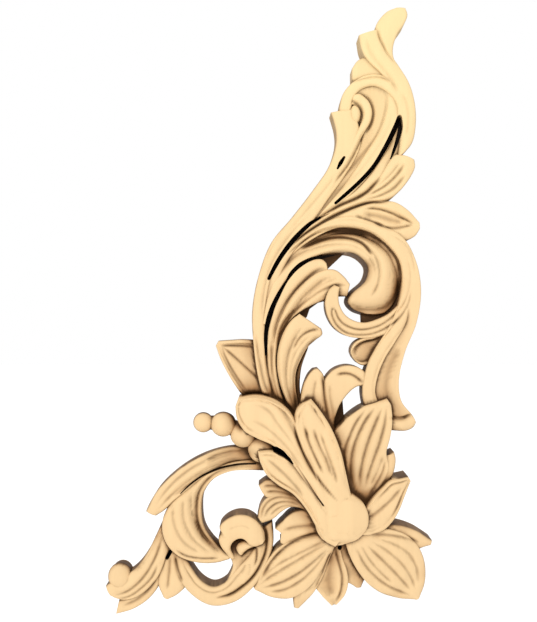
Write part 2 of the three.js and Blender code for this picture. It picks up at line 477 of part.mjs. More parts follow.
const cuts = [
  slit([[-1.2, 176.6], [-4.5, 170.9]], 1.7, SLIT_FLOOR),
  slit([[25.9, 198], [23.6, 191], [20.3, 184.3], [13.8, 173.2], [6, 164.5], [-2, 157.3],
    [-6, 153.9]],
    [2.6, 3, 2.5, 2, 1.8, 1.7, 1.5, 1.2], SLIT_FLOOR),
  slit([[26.2, 196.5], [26.4, 190], [25.4, 186], [24, 181.5], [22.3, 177.5], [20.1, 173]],
    [1.4, 1.1, 0.8, 0.6, 0.5], HOOD_GAP_FLOOR),
  slit([[-12.4, 147.8], [-21, 141.6], [-29, 132.6], [-36, 121.4], [-38.2, 117]], 1.7,
    SLIT_FLOOR),
  slit([[-39.2, 83], [-39.3, 92], [-38, 101], [-33.7, 110], [-27, 120], [-20.7, 125]],
    [1.1, 1.8, 3, 2.5, 2.2, 3], SLIT_FLOOR),
  slit([[-26, 28.3], [-22, 23], [-18, 17.5], [-14, 11.5], [-11.2, 8.3]],
    [1.8, 1.8, 1.6, 1.4], PETAL_SLOT_FLOOR),
  slit([[-85.9, -15.4], [-87.8, -19]], 1.8, SLIT_FLOOR),
  slit([[-3.7, -10.4], [-3.7, -11.8]], 2, WEB),
];
const made = Object.values(pieces).map((make) => make());
const whole = made.reduce((all, piece) => all.add(piece));
const carving = cuts.reduce((all, cut) => all.subtract(cut), whole);

const { vertProperties, triVerts } = carving.getMesh();
const shape = new THREE.BufferGeometry();
shape.setAttribute("position", new THREE.BufferAttribute(vertProperties, 3));
shape.setIndex(new THREE.BufferAttribute(triVerts, 1));

const wood = new THREE.MeshStandardMaterial({ color: 0xfddca8, roughness: 0.6, metalness: 0 });
const applique = new THREE.Mesh(shape, wood);
applique.name = "applique";

const group = new THREE.Group();
group.add(applique);
export default group;
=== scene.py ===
"""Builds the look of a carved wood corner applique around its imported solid."""

import json
import math

import bpy
import numpy as np
from mathutils import Matrix, Vector

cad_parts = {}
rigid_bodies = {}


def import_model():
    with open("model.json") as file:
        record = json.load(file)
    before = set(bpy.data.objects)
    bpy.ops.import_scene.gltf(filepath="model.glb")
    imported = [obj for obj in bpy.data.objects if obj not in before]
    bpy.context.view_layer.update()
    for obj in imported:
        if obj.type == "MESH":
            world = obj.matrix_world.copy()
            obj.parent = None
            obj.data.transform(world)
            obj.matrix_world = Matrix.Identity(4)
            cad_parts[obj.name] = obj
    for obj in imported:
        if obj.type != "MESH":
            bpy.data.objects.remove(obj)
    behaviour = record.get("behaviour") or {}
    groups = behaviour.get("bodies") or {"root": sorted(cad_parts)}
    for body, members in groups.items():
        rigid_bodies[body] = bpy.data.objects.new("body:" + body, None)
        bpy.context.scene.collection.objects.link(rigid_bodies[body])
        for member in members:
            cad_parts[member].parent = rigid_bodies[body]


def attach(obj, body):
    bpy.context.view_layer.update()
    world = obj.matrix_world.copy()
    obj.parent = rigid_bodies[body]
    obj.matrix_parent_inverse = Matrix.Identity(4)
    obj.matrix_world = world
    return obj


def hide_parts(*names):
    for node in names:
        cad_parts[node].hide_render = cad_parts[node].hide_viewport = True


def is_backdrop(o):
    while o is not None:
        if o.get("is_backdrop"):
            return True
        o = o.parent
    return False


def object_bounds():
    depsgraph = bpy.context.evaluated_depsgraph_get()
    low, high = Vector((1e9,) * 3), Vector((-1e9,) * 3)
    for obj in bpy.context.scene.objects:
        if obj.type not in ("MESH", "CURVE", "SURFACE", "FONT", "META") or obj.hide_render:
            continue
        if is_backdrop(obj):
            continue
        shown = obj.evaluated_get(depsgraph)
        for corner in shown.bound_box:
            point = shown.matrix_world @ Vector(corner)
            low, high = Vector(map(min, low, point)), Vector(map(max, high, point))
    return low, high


bl_info = {
    "name": "Carved Corner Applique",
    "version": (1, 0, 0),
    "blender": (4, 5, 0),
    "location": "View3D > Sidebar > Applique",
    "description": "Builds the carving, its bare wood and a plain studio around it",
    "category": "Add Mesh",
}

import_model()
SOLID_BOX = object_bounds()

MM = 0.001
TINY = 1e-6

# The drawing below was set out at these sizes, in millimetres.
DRAWN_HEIGHT = 294.0
DRAWN_RELIEF = 26.0

# Sizes of the carving, in millimetres on the drawing where they are lengths.
EDGE_OUTSET = 0.7  # how far a leaf's edge stands outside its drawn rail
THINNEST = 1.0  # least height of a leaf's front above the back
WEB_HEIGHT = 4.0  # front of a web above the back
RIM_SLOPE = 0.6  # width of the slope inside a raised rim
MOST_BORDER = 0.28  # a raised rim's greatest share of the leaf's width
MOST_ROLLED = 0.45  # a rolled edge's greatest share of the leaf's width
SLIT_END = 0.98  # how far a slit has closed at its very end
UNDERCUT = -math.pi / 6  # where a ball's round side starts, below its girth
SHARP_ANGLE = math.radians(38)  # between two faces from which their edge stays sharp

# Carved lines, in millimetres on the drawing where they are lengths.
LINE_GAIN = 1.5  # a line is cut this many times its drawn depth
LINE_SPACING = 1.5  # between the points of a line
LINE_REACH = 2.5  # half widths to each side that a line is worked out over
LINE_FADE = 0.15  # share of its length over which a line fades in and out
FADE_CURVE = 0.7  # under 1 for ends that rise bluntly
BELL_CURVE = 1.6  # 2 for the flanks of a bell, and less for sharper ones
UNCARVED_BELOW = 2.5  # front lower than this isn't cut by a line
UNCARVED_FADE = 5  # and is cut in full this much higher up
MOST_TAKEN = 3  # the most that lines which cross take away together

# How finely the shapes are set out.
SPAN_STEPS = 24
FEWEST_STATIONS = 8
FEWEST_ACROSS = 4
FEWEST_LINE_POINTS = 6
ROLL_STEPS = 4
SLIT_STEPS = 32
SHADE_STEPS = 60
BALL_TURNS = 48
BALL_RINGS = 12
BEAD_TURNS = 48
BEAD_RINGS = 24

# Recesses, measured for the painted shade that browns them: how far around a point its
# surroundings are taken, and how far below them it has to lie for the full value, in millimetres.
RECESSES = {"recess_near": (1.0, 1.1), "recess_far": (4.5, 5.0)}
MAP_CELL = 0.5  # side of a cell of the map of heights
MAP_MARGIN = 12.0  # empty border around the map
MAP_FILLS = 2  # rounds in which empty cells take their highest neighbour
LEAST_COVER = 0.05  # least share of wood around a point that its mean is taken over
BACK_BELOW = 0.5  # a point lower than this is the foot of a wall
MOST_AT_BACK = 0.72  # and its values are no higher than this

# Painted shade in the recesses, tints laid one over the other: what is read, where the tint
# starts and where it is full, and its colour.
PAINTED_RECESS_SHADE = (
    ("recess_far", 0.0, 0.64, "hollow_shade"),
    ("recess_far", 0.6, 1.06, "crevice_shade"),
    ("recess_near", 0.04, 1.0, "crevice_shade"),
)
# The painted shade inside the narrow cuts, and how the painted shade tints fade in from the flat back.
FULL_CUT_SHADE = 0.3  # stored shade at which a cut's colour is full
SHADE_PAST = 0.3  # how far beside a cut its shade reaches, in millimetres
SHADE_ABOVE = 1  # and how far above its floor
BACK_FADE = 4  # back skins from the back at which the tints are full

# The grain: cycles to the metre across and along the arm, its detail, and the part of the
# noise that makes the streaks.
GRAIN_SCALE = (260, 260, 14)
GRAIN_DETAIL = 4.0
GRAIN_RANGE = (0.3, 0.7)

# The studio, in metres.
MIDDLE = (-0.038, 0.0, 0.102)  # where the camera and the lamp point, on the flat back
FLOOR_REACH = 3.0
FLOOR_DROP = 0.06
FLOOR_GREY = 0.93
FLOOR_ROUGHNESS = 0.9
FLOOR_GLOW = 0.15
LAMP_PLACE = (-0.25, -0.9, 0.55)
LAMP_SIZE = 0.5
SENSOR_WIDTH = 36.0  # in millimetres
NEAREST_SEEN = 0.01

# Leaves, petals and strands, named as a carver would. Each has its left rail and its
# right rail from root to tip, as (x, z) in millimetres, and the shape of its front.
LEAVES = {
    "arm": (
        [(-37, 52), (-42, 68), (-44.6, 86), (-45.2, 103), (-42, 120), (-36, 135.2), (-26.2, 147.2),
         (-15.6, 161), (-8.2, 172), (-4.6, 183), (-4.7, 190), (-7, 198.6)],
        [(-34, 52), (-38, 68), (-40.3, 86), (-40.2, 101), (-38.2, 115), (-34.6, 125.5), (-26.8, 137.3),
         (-18, 145), (-9.5, 156.5), (-2, 167), (2.9, 175), (6.3, 184), (5, 193), (2.2, 200)],
        dict(rise=[10, 12, 14, 14, 14, 13.5, 13.5, 13.5], crown=1),
    ),
    "hood_hollow": (
        [(-16, 148), (-5, 163), (3, 174.5), (7.5, 186), (6, 198), (1.2, 209.4)],
        [(-11, 147), (3, 166), (12, 180), (17.5, 192), (20, 203), (23, 214)],
        dict(rise=[13, 13, 12.7, 12.7, 13], crown=-0.6, tilt=1),
    ),
    "hood_light": (
        [(-14, 147.5), (1, 165.5), (10, 179), (16.5, 191), (19, 203), (17.5, 214)],
        [(-8, 149.5), (4, 161), (12.6, 171), (19.4, 181.5), (23.6, 190), (26, 197), (25.5, 208)],
        dict(rise=[13, 13, 13, 12.8, 12.6], crown=1.1),
    ),
    "ring": (
        [(-9, 161), (-3.5, 171.5), (1, 180), (5, 188.5), (7.1, 193), (8, 197.5), (7, 200.8), (4.5, 202.6),
         (2.3, 203)],
        [(-7, 162), (-0.5, 172.5), (4.5, 181.5), (8.3, 189), (10.9, 193.5), (11.9, 198.5), (10.3, 203.5),
         (6.8, 206.9), (3, 206.6)],
        dict(rise=[13, 14, 14, 14, 13.5], crown=0.6),
    ),
    "band": (
        [(6.5, 236), (7.8, 229), (11, 223.5), (17, 217.5), (22.5, 210.5), (25.8, 202), (27, 193),
         (26.6, 184), (25.5, 177)],
        [(14.6, 238.4), (17, 231), (20.5, 226.5), (24.8, 220.3), (29.5, 212.5), (32.3, 203), (32.9, 193),
         (31.3, 184), (27.5, 178.5)],
        dict(rise=[13.5, 14, 14.2, 14.2, 14, 13.5, 12.5], crown=1),
    ),
    "hood": (
        [(25, 193), (24.6, 202), (20, 208.5), (13, 211.9), (7, 210.4), (3.3, 206.6), (1.5, 200.5),
         (1, 196)],
        [(28.5, 193), (28.3, 205), (22.5, 213.5), (14, 216.3), (7, 214.9), (2, 211.4), (-1.3, 207),
         (-2.9, 201), (-3.4, 196)],
        dict(rise=[13.6, 14.4, 14, 13.6, 13.4], crown=0.6),
    ),
    "crest_low": (
        [(20.5, 212.6), (15, 215), (9, 214.7), (4.5, 213.5), (2.7, 215.5)],
        [(22, 214.5), (17, 218.3), (12.5, 222.5), (9, 224.6), (5.3, 223.2), (2.7, 219.5)],
        dict(rise=[12, 12.5, 12.5, 12], crown=0.5),
    ),
    "crest_tip": (
        [(22.5, 213), (20, 222), (17, 229.6), (15, 235.3), (14.6, 239.6), (16.6, 243.6), (20.5, 247.6),
         (25, 249.6)],
        [(28, 213), (24.3, 220.5), (22, 226), (22, 231), (24, 236.7), (27.6, 242.3), (29, 246.5),
         (28, 249.5)],
        dict(rise=[13, 13.5, 13.3, 13, 12.5], crown=0.8),
    ),
    "arm_strip": (
        [(-12, 149), (-5, 153.6), (4, 159.8), (12.6, 169), (19, 179), (23.4, 188), (26, 195.5)],
        [(-11.4, 148), (-3, 151.5), (8, 157), (15, 163), (20.3, 171), (25, 179), (28, 190)],
        dict(rise=[12.5, 13, 12.5, 12, 10.5, 9], crown=0.6),
    ),
    "arm_lobe": (
        [(-36, 120), (-27.5, 135.2), (-14, 147.4), (-1, 154), (8.5, 159.3), (15.5, 165.5), (20, 172.5),
         (24, 177.5), (29, 177.5)],
        [(-35, 119), (-25, 133.5), (-12, 143.5), (2, 151), (12, 154), (18.2, 155), (22, 157.8),
         (26.6, 162.2), (30.8, 168), (32.8, 172.5), (32.4, 176)],
        dict(rise=[12, 12, 12.2, 12.5, 13, 12.5], crown=1),
    ),
    "scroll_leaf": (
        [(-34, 122), (-24, 135), (-9, 146), (4, 151.7), (14, 154.6), (23, 154.3), (30, 150.1),
         (35.4, 144.3)],
        [(-33, 121), (-22, 134), (-6, 143), (6, 144), (13, 142.5), (20, 139), (27, 136.6), (33, 139),
         (35.5, 142.6)],
        dict(rise=[11, 11.5, 12.5, 14, 14, 13.5], crown=0.6),
    ),
    "scroll_band": (
        [(-42, 97), (-41, 107), (-38.2, 116), (-34.2, 123.5), (-27.5, 132.8), (-16, 142), (0, 147.5),
         (14, 144.5), (27, 137), (33.3, 125), (35.4, 111), (33.2, 96), (27.7, 82), (24.7, 68), (26, 58),
         (31, 51.5)],
        [(-39, 97), (-36.8, 107), (-32.3, 120.5), (-25.6, 132.2), (-15, 140.8), (-1, 143.5), (11, 141.1),
         (20, 134.3), (25.7, 126.5), (27.2, 116), (25.3, 105), (20.5, 94), (14, 83), (9.5, 73), (8, 64),
         (9.5, 54), (14, 46)],
        dict(
            rise=[13, 13, 13, 14.3, 15, 15, 14.5, 14, 13],
            crown=[0.3, 0.5, 0.8, 1, 1, 0.5, -1.2, -1.9, -1],
        ),
    ),
    "stem_lip": (
        [(29.8, 106), (28.5, 97), (23, 87.5), (17.5, 78.5), (14.2, 70), (13.2, 62), (15.5, 55)],
        [(29, 106.5), (23, 95), (17, 87), (11.5, 78), (9, 70), (8, 62), (10, 53)],
        dict(rise=[14, 14.6, 14.6, 14.2], crown=0.5),
    ),
    "foot": (
        [(18, 51), (24, 49.8), (28, 50), (31, 51.7), (32.8, 50)],
        [(18, 45), (24, 44.4), (29, 44.4), (32.4, 46), (33.6, 48.2)],
        dict(rise=[12, 12.5, 12], crown=2),
    ),
    "scroll_ball": (
        [(-40.8, 96), (-37.6, 111), (-31, 125.6), (-22.5, 134.4), (-8, 139), (6, 138.9), (16.9, 133.9),
         (23.8, 125.6), (25.7, 116), (23.8, 107), (19, 101.5), (14.5, 100.3)],
        [(-38.5, 95), (-34.9, 108), (-27.8, 120.2), (-18, 128.3), (-5, 131.6), (5, 130), (10.8, 124),
         (9.6, 117), (3, 110.3), (1.4, 106.5), (4, 103), (10, 100.6)],
        dict(
            flare=1.1,
            rise=[13.6, 13, 11, 9, 9, 10.5, 9.5, 9],
            crown=[1, 1, 1.5, 2.5, 4.5, 5.5, 5.5, 1],
            tilt=[-1, 0, 3, 6, 5, 1, 3, 1],
        ),
    ),
    "trough": (
        [(-30, 129), (-14, 141), (2, 145.5), (17, 139), (27.5, 126), (28.5, 112), (24, 100), (16, 95),
         (8, 94.7)],
        [(-28, 124), (-14, 134), (0, 137), (12, 133), (20, 124), (22, 114), (19, 106), (14, 102),
         (7.7, 101.5)],
        dict(rise=[11, 8, 5, 5, 5, 5, 5]),
    ),
    "ball_strip": (
        [(6, 144), (15, 140.6), (22.5, 134), (27, 126), (28.7, 119), (28.6, 111)],
        [(5, 138.5), (12, 135.2), (17.6, 129.8), (21.6, 124), (23.8, 118), (25.2, 111)],
        dict(rise=[5, 9.5, 12, 12.5, 10.5, 6], tilt=-2.5),
    ),
    "inner_leaf_upper": (
        [(-36, 50), (-39, 66), (-39.2, 80), (-38, 93), (-35.2, 104.5), (-30.5, 114), (-25, 121.3),
         (-18, 125.6), (-12, 126.5), (-9.6, 124.7)],
        [(-33.5, 50), (-36, 66), (-36, 80), (-34.5, 93), (-30, 104), (-24, 112.5), (-17, 119),
         (-9, 121.8)],
        dict(rise=[9, 10, 11, 12, 12.5, 12.5, 12], crown=0.8),
    ),
    "inner_leaf_main": (
        [(-34.5, 50), (-37, 66), (-37, 80), (-35, 93), (-30, 105), (-22, 114.5), (-13, 120.6),
         (-6, 121.4), (-1.5, 118.2), (1.5, 114.4)],
        [(-28, 50), (-32, 62), (-34, 75), (-32.5, 88), (-27.5, 97.5), (-21, 103.3), (-14.5, 106.5),
         (-9, 108.6), (-4, 109.7), (0.5, 109.9)],
        dict(rise=[9, 10, 10.5, 11, 12, 12, 11.5], crown=1.2, tilt=[0, 0, 0, -1.5, -2.5, -2]),
    ),
    "curl_leaf": (
        [(-24, 48), (-28.5, 58), (-31.8, 67), (-33.2, 76), (-32.5, 84), (-29.7, 92), (-26, 97.4),
         (-22.3, 100.2)],
        [(-22.5, 50), (-24, 57), (-25.4, 64), (-25.2, 72), (-22.6, 79), (-19.3, 84.6), (-15.5, 88.2),
         (-12.3, 91), (-12.8, 93.8)],
        dict(rise=[9, 11, 12, 12.5, 12.5, 12], tilt=-2, crown=0.6),
    ),
    "curl_leaf_slope": (
        [(-25, 51), (-25.6, 58), (-26.8, 66), (-25.6, 75), (-20.6, 83.4)],
        [(-22, 51), (-22.6, 58), (-23.2, 66), (-22.2, 75), (-19, 84)],
        dict(rise=[5, 5.5, 6, 8]),
    ),
    "sickle": (
        [(31, 103.5), (28, 97.5), (22.4, 92.8), (15, 90), (7, 89.4), (0, 90.5), (-5.7, 94.4),
         (-9.2, 100.8), (-9.7, 107), (-7.7, 112.5), (-5.5, 114.6)],
        [(29, 109.5), (25.6, 104.6), (20.5, 100), (15, 97.4), (8.5, 95.8), (3, 96.9), (-1.5, 100),
         (-4.2, 105), (-4.7, 110), (-4, 113.8)],
        dict(rise=[13, 13.5, 13.5, 13.5, 14, 14], crown=0.4),
    ),
    "hollow_lobe": (
        [(20, 90.5), (16, 84.5), (11.5, 77.4), (8, 76.1), (5, 77.3), (2.6, 80)],
        [(19, 92), (13, 89.3), (8, 88.2), (4.3, 86.1), (2.4, 83.2), (2.2, 81)],
        dict(rise=[13, 12.5, 12.3], rim=[1.3, 2.2]),
    ),
    "bud_left": (
        [(-20, 44), (-21.7, 55), (-20.7, 64), (-18, 71), (-15.6, 73.8)],
        [(-6, 44), (-9.5, 56), (-10.9, 66), (-12.3, 71.5), (-14.6, 74)],
        dict(rise=[13, 14, 14, 13.5], crown=0.8),
    ),
    "bud_curl": (
        [(-11, 44), (-11.3, 56), (-10.7, 67), (-6.5, 72.7), (0, 75), (5.5, 73.9), (9.3, 71.4),
         (11.5, 68.6)],
        [(-7, 44), (-6.3, 50), (-3.8, 57), (0.5, 62.7), (4.5, 65.8), (7, 66.3), (10.4, 66.2)],
        dict(rise=[13, 14, 14.5, 14, 13.5], crown=0.5),
    ),
    "side_leaf": (
        [(-42, 51), (-50, 60.3), (-56.4, 69.5), (-61.3, 79), (-63.6, 85.5)],
        [(-36, 80), (-43, 86.3), (-50, 87.3), (-57, 87), (-63, 86.6)],
        dict(rise=[8, 8.5, 8.2, 8], rim=[1.5, 1.2]),
    ),
    "petal_left": (
        [(-8, 0), (-14, 12), (-20, 21), (-25.5, 28.5), (-30, 34.2), (-36, 38.6), (-43, 41.6),
         (-49.5, 45.3), (-52.8, 51), (-53.6, 57)],
        [(0, 12), (-10, 18), (-18, 29), (-22.5, 39.5), (-25.3, 48.5), (-29.5, 54.5), (-36, 58.9),
         (-44, 60.7), (-52.6, 59.7)],
        dict(rise=[24, 24, 23, 22, 21, 20, 19], crown=[2, 2, 2, 1.5, 1, 1], rim=[1.3, 0.9]),
    ),
    "petal_centre": (
        [(-12, 4), (-15, 22), (-21.5, 36), (-25, 47), (-24, 54.5), (-21, 58.2)],
        [(2, 8), (-0.8, 20), (-4.3, 35), (-9, 46.5), (-14.5, 55), (-18.2, 59.5)],
        dict(rise=[24, 24.5, 23.5, 22, 20], crown=2, rim=[1.1, 0.7]),
    ),
    "petal_low": (
        [(-6, -9.5), (-11, -6.5), (-15.5, 1), (-20, 8.5), (-26, 15.2), (-33, 19.3), (-38.7, 24.1),
         (-42.3, 30.5)],
        [(4, 6), (-6, 10), (-14, 16), (-21, 24.5), (-26, 29.8), (-31, 32.6), (-37, 34.5), (-43, 34)],
        dict(rise=[23, 24, 23, 21.5, 20, 19], crown=1.5, rim=[1.3, 0.9]),
    ),
    "cup": (
        [(-7.5, -9.8), (-12.5, -6), (-15, 0), (-14, 7), (-8.5, 13), (-1, 15)],
        [(-2.5, -9.6), (3.8, -6.6), (8, -1.5), (8.9, 4.2), (6.6, 10.4), (1.5, 14.6)],
        dict(rise=[20, 22.5, 23.5, 23.5, 23], crown=[1, 2.5, 2.5, 2.5, 1]),
    ),
    "petal_right": (
        [(-3, 8), (-4, 22), (-6, 34), (-6.5, 42), (-2.8, 46.6), (1.5, 51), (8, 55.4), (14, 57.3),
         (19.7, 58.9)],
        [(12, 8), (16.5, 17.5), (19.5, 26), (18.3, 34), (20, 41), (21.2, 49), (20.8, 57.2)],
        dict(rise=[12.5, 14.5, 16, 17, 17, 16], crown=1.4),
    ),
    "petal_right_lobe": (
        [(11, 14), (14.5, 20), (16.8, 27), (18, 31.8), (20, 32.4)],
        [(14, 12.5), (19.6, 18.5), (22.2, 25), (22.9, 30.5), (22.2, 33.4)],
        dict(rise=[12, 14, 15, 15], crown=0.5),
    ),
    "petal_side": (
        [(6, 2), (9.3, 7.5), (13, 12.3), (17.5, 16.8), (21, 19.8), (25.5, 20.8), (29.6, 21.7)],
        [(5, -4), (11, -4.3), (17, -2.3), (21.5, 2), (24.8, 7.5), (27.2, 13.5), (30.2, 20.6)],
        dict(rise=[22, 20, 19, 18, 17], crown=0.8, rim=[1.2, 0.7]),
    ),
    "petal_low_right": (
        [(8, -2), (18, -3), (27, -6), (33, -11), (36.4, -17.5), (37.8, -25), (37.2, -32), (35.1, -37.8)],
        [(-1, -7), (1.5, -15), (6, -23.5), (12, -30.7), (19, -35.1), (27, -37.5), (34.3, -38.3)],
        dict(rise=[19, 18, 16.5, 15, 13, 11.5], crown=2),
    ),
    "petal_low_right_lobe": (
        [(8, -2.5), (18, -1.7), (26, -2.5), (33, -4.9), (38, -7.9), (41.3, -10.2)],
        [(8, -8), (18, -11), (27, -13), (34.3, -13), (37.5, -12), (41, -11.2)],
        dict(rise=[17, 16, 14.5, 13], crown=0.8),
    ),
    "petal_small": (
        [(8, -9), (9.5, -18), (10, -27), (8, -29.9), (6.6, -33.2)],
        [(-5, -10), (-4.5, -20), (-0.8, -29.7), (2.5, -31.1), (5.8, -33.3)],
        dict(rise=[14, 12.5, 11, 10.5], crown=0.5),
    ),
    "petal_bottom": (
        [(-4.5, -9), (-3, -17), (-0.6, -24), (0.2, -30), (-1.4, -36.3), (-5.6, -41.5)],
        [(-8.5, -9), (-10, -18), (-12, -26), (-14.6, -31.6), (-11.5, -36.5), (-6.4, -41.7)],
        dict(rise=[16, 14, 12.5, 12], crown=-1.4),
    ),
    "petal_low_left": (
        [(-6, -10), (-10.5, -19), (-15.5, -27.5), (-22, -34.4), (-29, -37.4), (-37, -36.9), (-44.5, -34)],
        [(-10, -5), (-18, -6.5), (-26, -9.3), (-33, -13.6), (-38.2, -20), (-42.4, -26.5), (-45.2, -33)],
        dict(rise=[17, 16, 15, 13.5, 12, 10], crown=1.8),
    ),
    "petal_low_left_lobe": (
        [(-6.5, -11), (-9.5, -20), (-13, -28.8), (-16.5, -34.6), (-20.5, -39.3), (-24, -43)],
        [(-14, -12), (-20, -24), (-24.8, -33), (-25.4, -38), (-24.9, -42.8)],
        dict(rise=[16, 14.5, 13, 11.5], crown=0.5),
    ),
    "petal_shoulder": (
        [(-8, -8), (-17, -11), (-25, -12.5), (-30, -11.2), (-32.4, -9.3), (-30.6, -7.4), (-32.8, -4.8)],
        [(-12, 3), (-18.5, 4.9), (-25, 4.1), (-29, 1.7), (-31.5, -0.9), (-33, -2.6), (-34.1, -4.2)],
        dict(rise=[16, 15, 14, 13.5], crown=0.8),
    ),
    "tuft_upper": (
        [(-20, 6), (-28, 9.5), (-35, 12), (-38.8, 12), (-41.5, 14.8)],
        [(-22, 14), (-29, 18), (-35.5, 20.2), (-39.5, 19), (-42.5, 16.8)],
        dict(rise=[15, 14, 13.5], crown=0.8),
    ),
    "tuft_lower": (
        [(-18, 4.5), (-23, 7.2), (-28, 7.4), (-32, 5.2), (-36, 1.7), (-41.6, -0.7)],
        [(-18, 9), (-26, 12.6), (-33, 13), (-38.6, 10.6), (-41.6, 6.5), (-43, 1.2)],
        dict(rise=[15, 14.5, 14, 13], crown=0.8),
    ),
    "bead_cord": (
        [(-71, 45.2), (-60, 44), (-50, 39), (-41, 31.5), (-36, 28)],
        [(-70, 49.2), (-58.5, 48.5), (-49, 43.8), (-39.5, 36), (-34, 32)],
        dict(rise=9),
    ),
    "scroll_arch": (
        [(-38, 27), (-50, 27.4), (-60, 26), (-69, 22), (-78, 15), (-84.5, 9.8), (-89, 5.6), (-93.5, 2.6)],
        [(-38, 35), (-50, 35), (-62, 33.4), (-73, 29.3), (-83.2, 22.6), (-91, 15), (-95.6, 7.5),
         (-97, 4.2)],
        dict(rise=[3, 6.5, 11.2, 12.8, 12.5], crown=1.4),
    ),
    "scroll_fat": (
        [(-38, 24), (-48, 24.2), (-57.6, 23.2), (-65.8, 19.2), (-70.4, 12.4), (-71.2, 4.5), (-70, -3.5),
         (-66, -10), (-61, -14.6), (-56.8, -17.6)],
        [(-38, 27.2), (-48, 27.8), (-60, 25.8), (-70, 21), (-79, 14.4), (-86.5, 6.5), (-89.2, -1.5),
         (-87.7, -9.8), (-81.8, -16.6), (-72, -20), (-63, -20.2), (-57, -18.6)],
        dict(
            rise=[8, 9, 10, 11, 11.5, 11.5, 11],
            crown=[0.5, 0.5, 1, 3.4, 4, 3.4, 1],
            tilt=[1, 1, 1.5, 2.5, 2.5, 2, 0],
        ),
    ),
    "tail": (
        [(-85, -8), (-88, -17), (-91, -25), (-96, -32), (-103, -37), (-110, -38.3), (-115.4, -36)],
        [(-89, 0), (-92.6, -8), (-96.8, -16.5), (-101.5, -23), (-106.5, -27), (-111.5, -28.5),
         (-117, -32.6)],
        dict(rise=[9, 10.5, 11.5, 12, 12], crown=1.4),
    ),
    "tail_tip": (
        [(-89, -22), (-91.8, -31.4), (-96.7, -38), (-104.2, -43), (-112.4, -45.5)],
        [(-92, -20), (-96, -29), (-102, -35), (-108, -38.6), (-111.2, -40)],
        dict(rise=[9, 10, 10.5, 10.5], crown=0.5),
    ),
    "drop_leaf": (
        [(-82, -14), (-82.8, -21), (-80.6, -27), (-78.7, -31.4), (-83, -36.3), (-87.9, -38.9)],
        [(-87, -14), (-88.5, -21), (-90.9, -27), (-91.2, -32), (-88.8, -38.4)],
        dict(rise=[9, 10, 10.5, 10], crown=0.8),
    ),
    "bottom_ribbon": (
        [(-80.5, -15), (-76.5, -23), (-71, -30), (-65, -32.9), (-59.5, -31), (-54, -25), (-47, -18),
         (-42.5, -11), (-41, -4)],
        [(-85.5, -16), (-83, -25), (-76.7, -34.4), (-66, -40.8), (-54.8, -39), (-45.6, -31.8),
         (-39.3, -22), (-36.3, -11), (-36.8, -1)],
        dict(rise=[9, 11, 12, 12.5, 12, 11.5, 10.5], crown=1),
    ),
    "curl_body": (
        [(-60, -33), (-56, -26), (-54.8, -21.5), (-57, -16.5), (-59.8, -12)],
        [(-46, -32), (-41, -24), (-39.5, -16), (-40.5, -10), (-42, -8)],
        dict(rise=[12, 12.5, 11.5, 9], crown=-1),
    ),
    "curl_cap": (
        [(-56.8, -18.5), (-60.8, -12.5), (-61.8, -8.8), (-60.6, -5.6), (-61.4, -3.4), (-58.6, 0.2),
         (-53.5, 2.6), (-48, 2.3), (-43.3, -1), (-40.4, -6), (-40, -9.7)],
        [(-54.7, -18.5), (-57, -13.2), (-56, -10), (-53.5, -8), (-51, -7.6), (-49, -8.6), (-47, -10.6),
         (-44.5, -11.5), (-41, -10.8)],
        dict(rise=[11, 13, 14.5, 15, 15, 14], crown=1.2),
    ),
    "curl_heart": (
        [(-43, -8), (-46.2, -9.9), (-49.5, -10.9), (-52.2, -12), (-53.2, -14), (-52.4, -16.2)],
        [(-43, -12), (-45.4, -12.6), (-47.6, -13.6), (-49.6, -15.1), (-50.8, -16.4), (-51.4, -17)],
        dict(rise=[12, 12.4, 12.2, 11.6], crown=1.4),
    ),
}

# Balls and domes: the place (x, z), the two radii, the height of the top, and how far
# the round part comes down from it.
BALLS = {
    "eye": ((4.2, 197.6), (2.8, 4.6), 15, 2.8),
    "cup_dome": ((-3.1, 2.2), (11.5, 12), 26, 8),
    "tail_ball": ((-110.6, -28), (6, 6.6), 14.5, 6),
}

# Beads of the string, then the small ones between them: x, z, radius and height of the top.
BEADS = (
    (-70, 47.4, 4.95, 13),
    (-60.2, 46.6, 6.1, 15),
    (-50.3, 41.6, 6.4, 15.5),
    (-41.3, 34.3, 6.8, 16),
    (-65.7, 47.1, 3.5, 10.9),
    (-55.1, 44.2, 3.7, 11.6),
    (-45.9, 38, 3.8, 12.2),
)
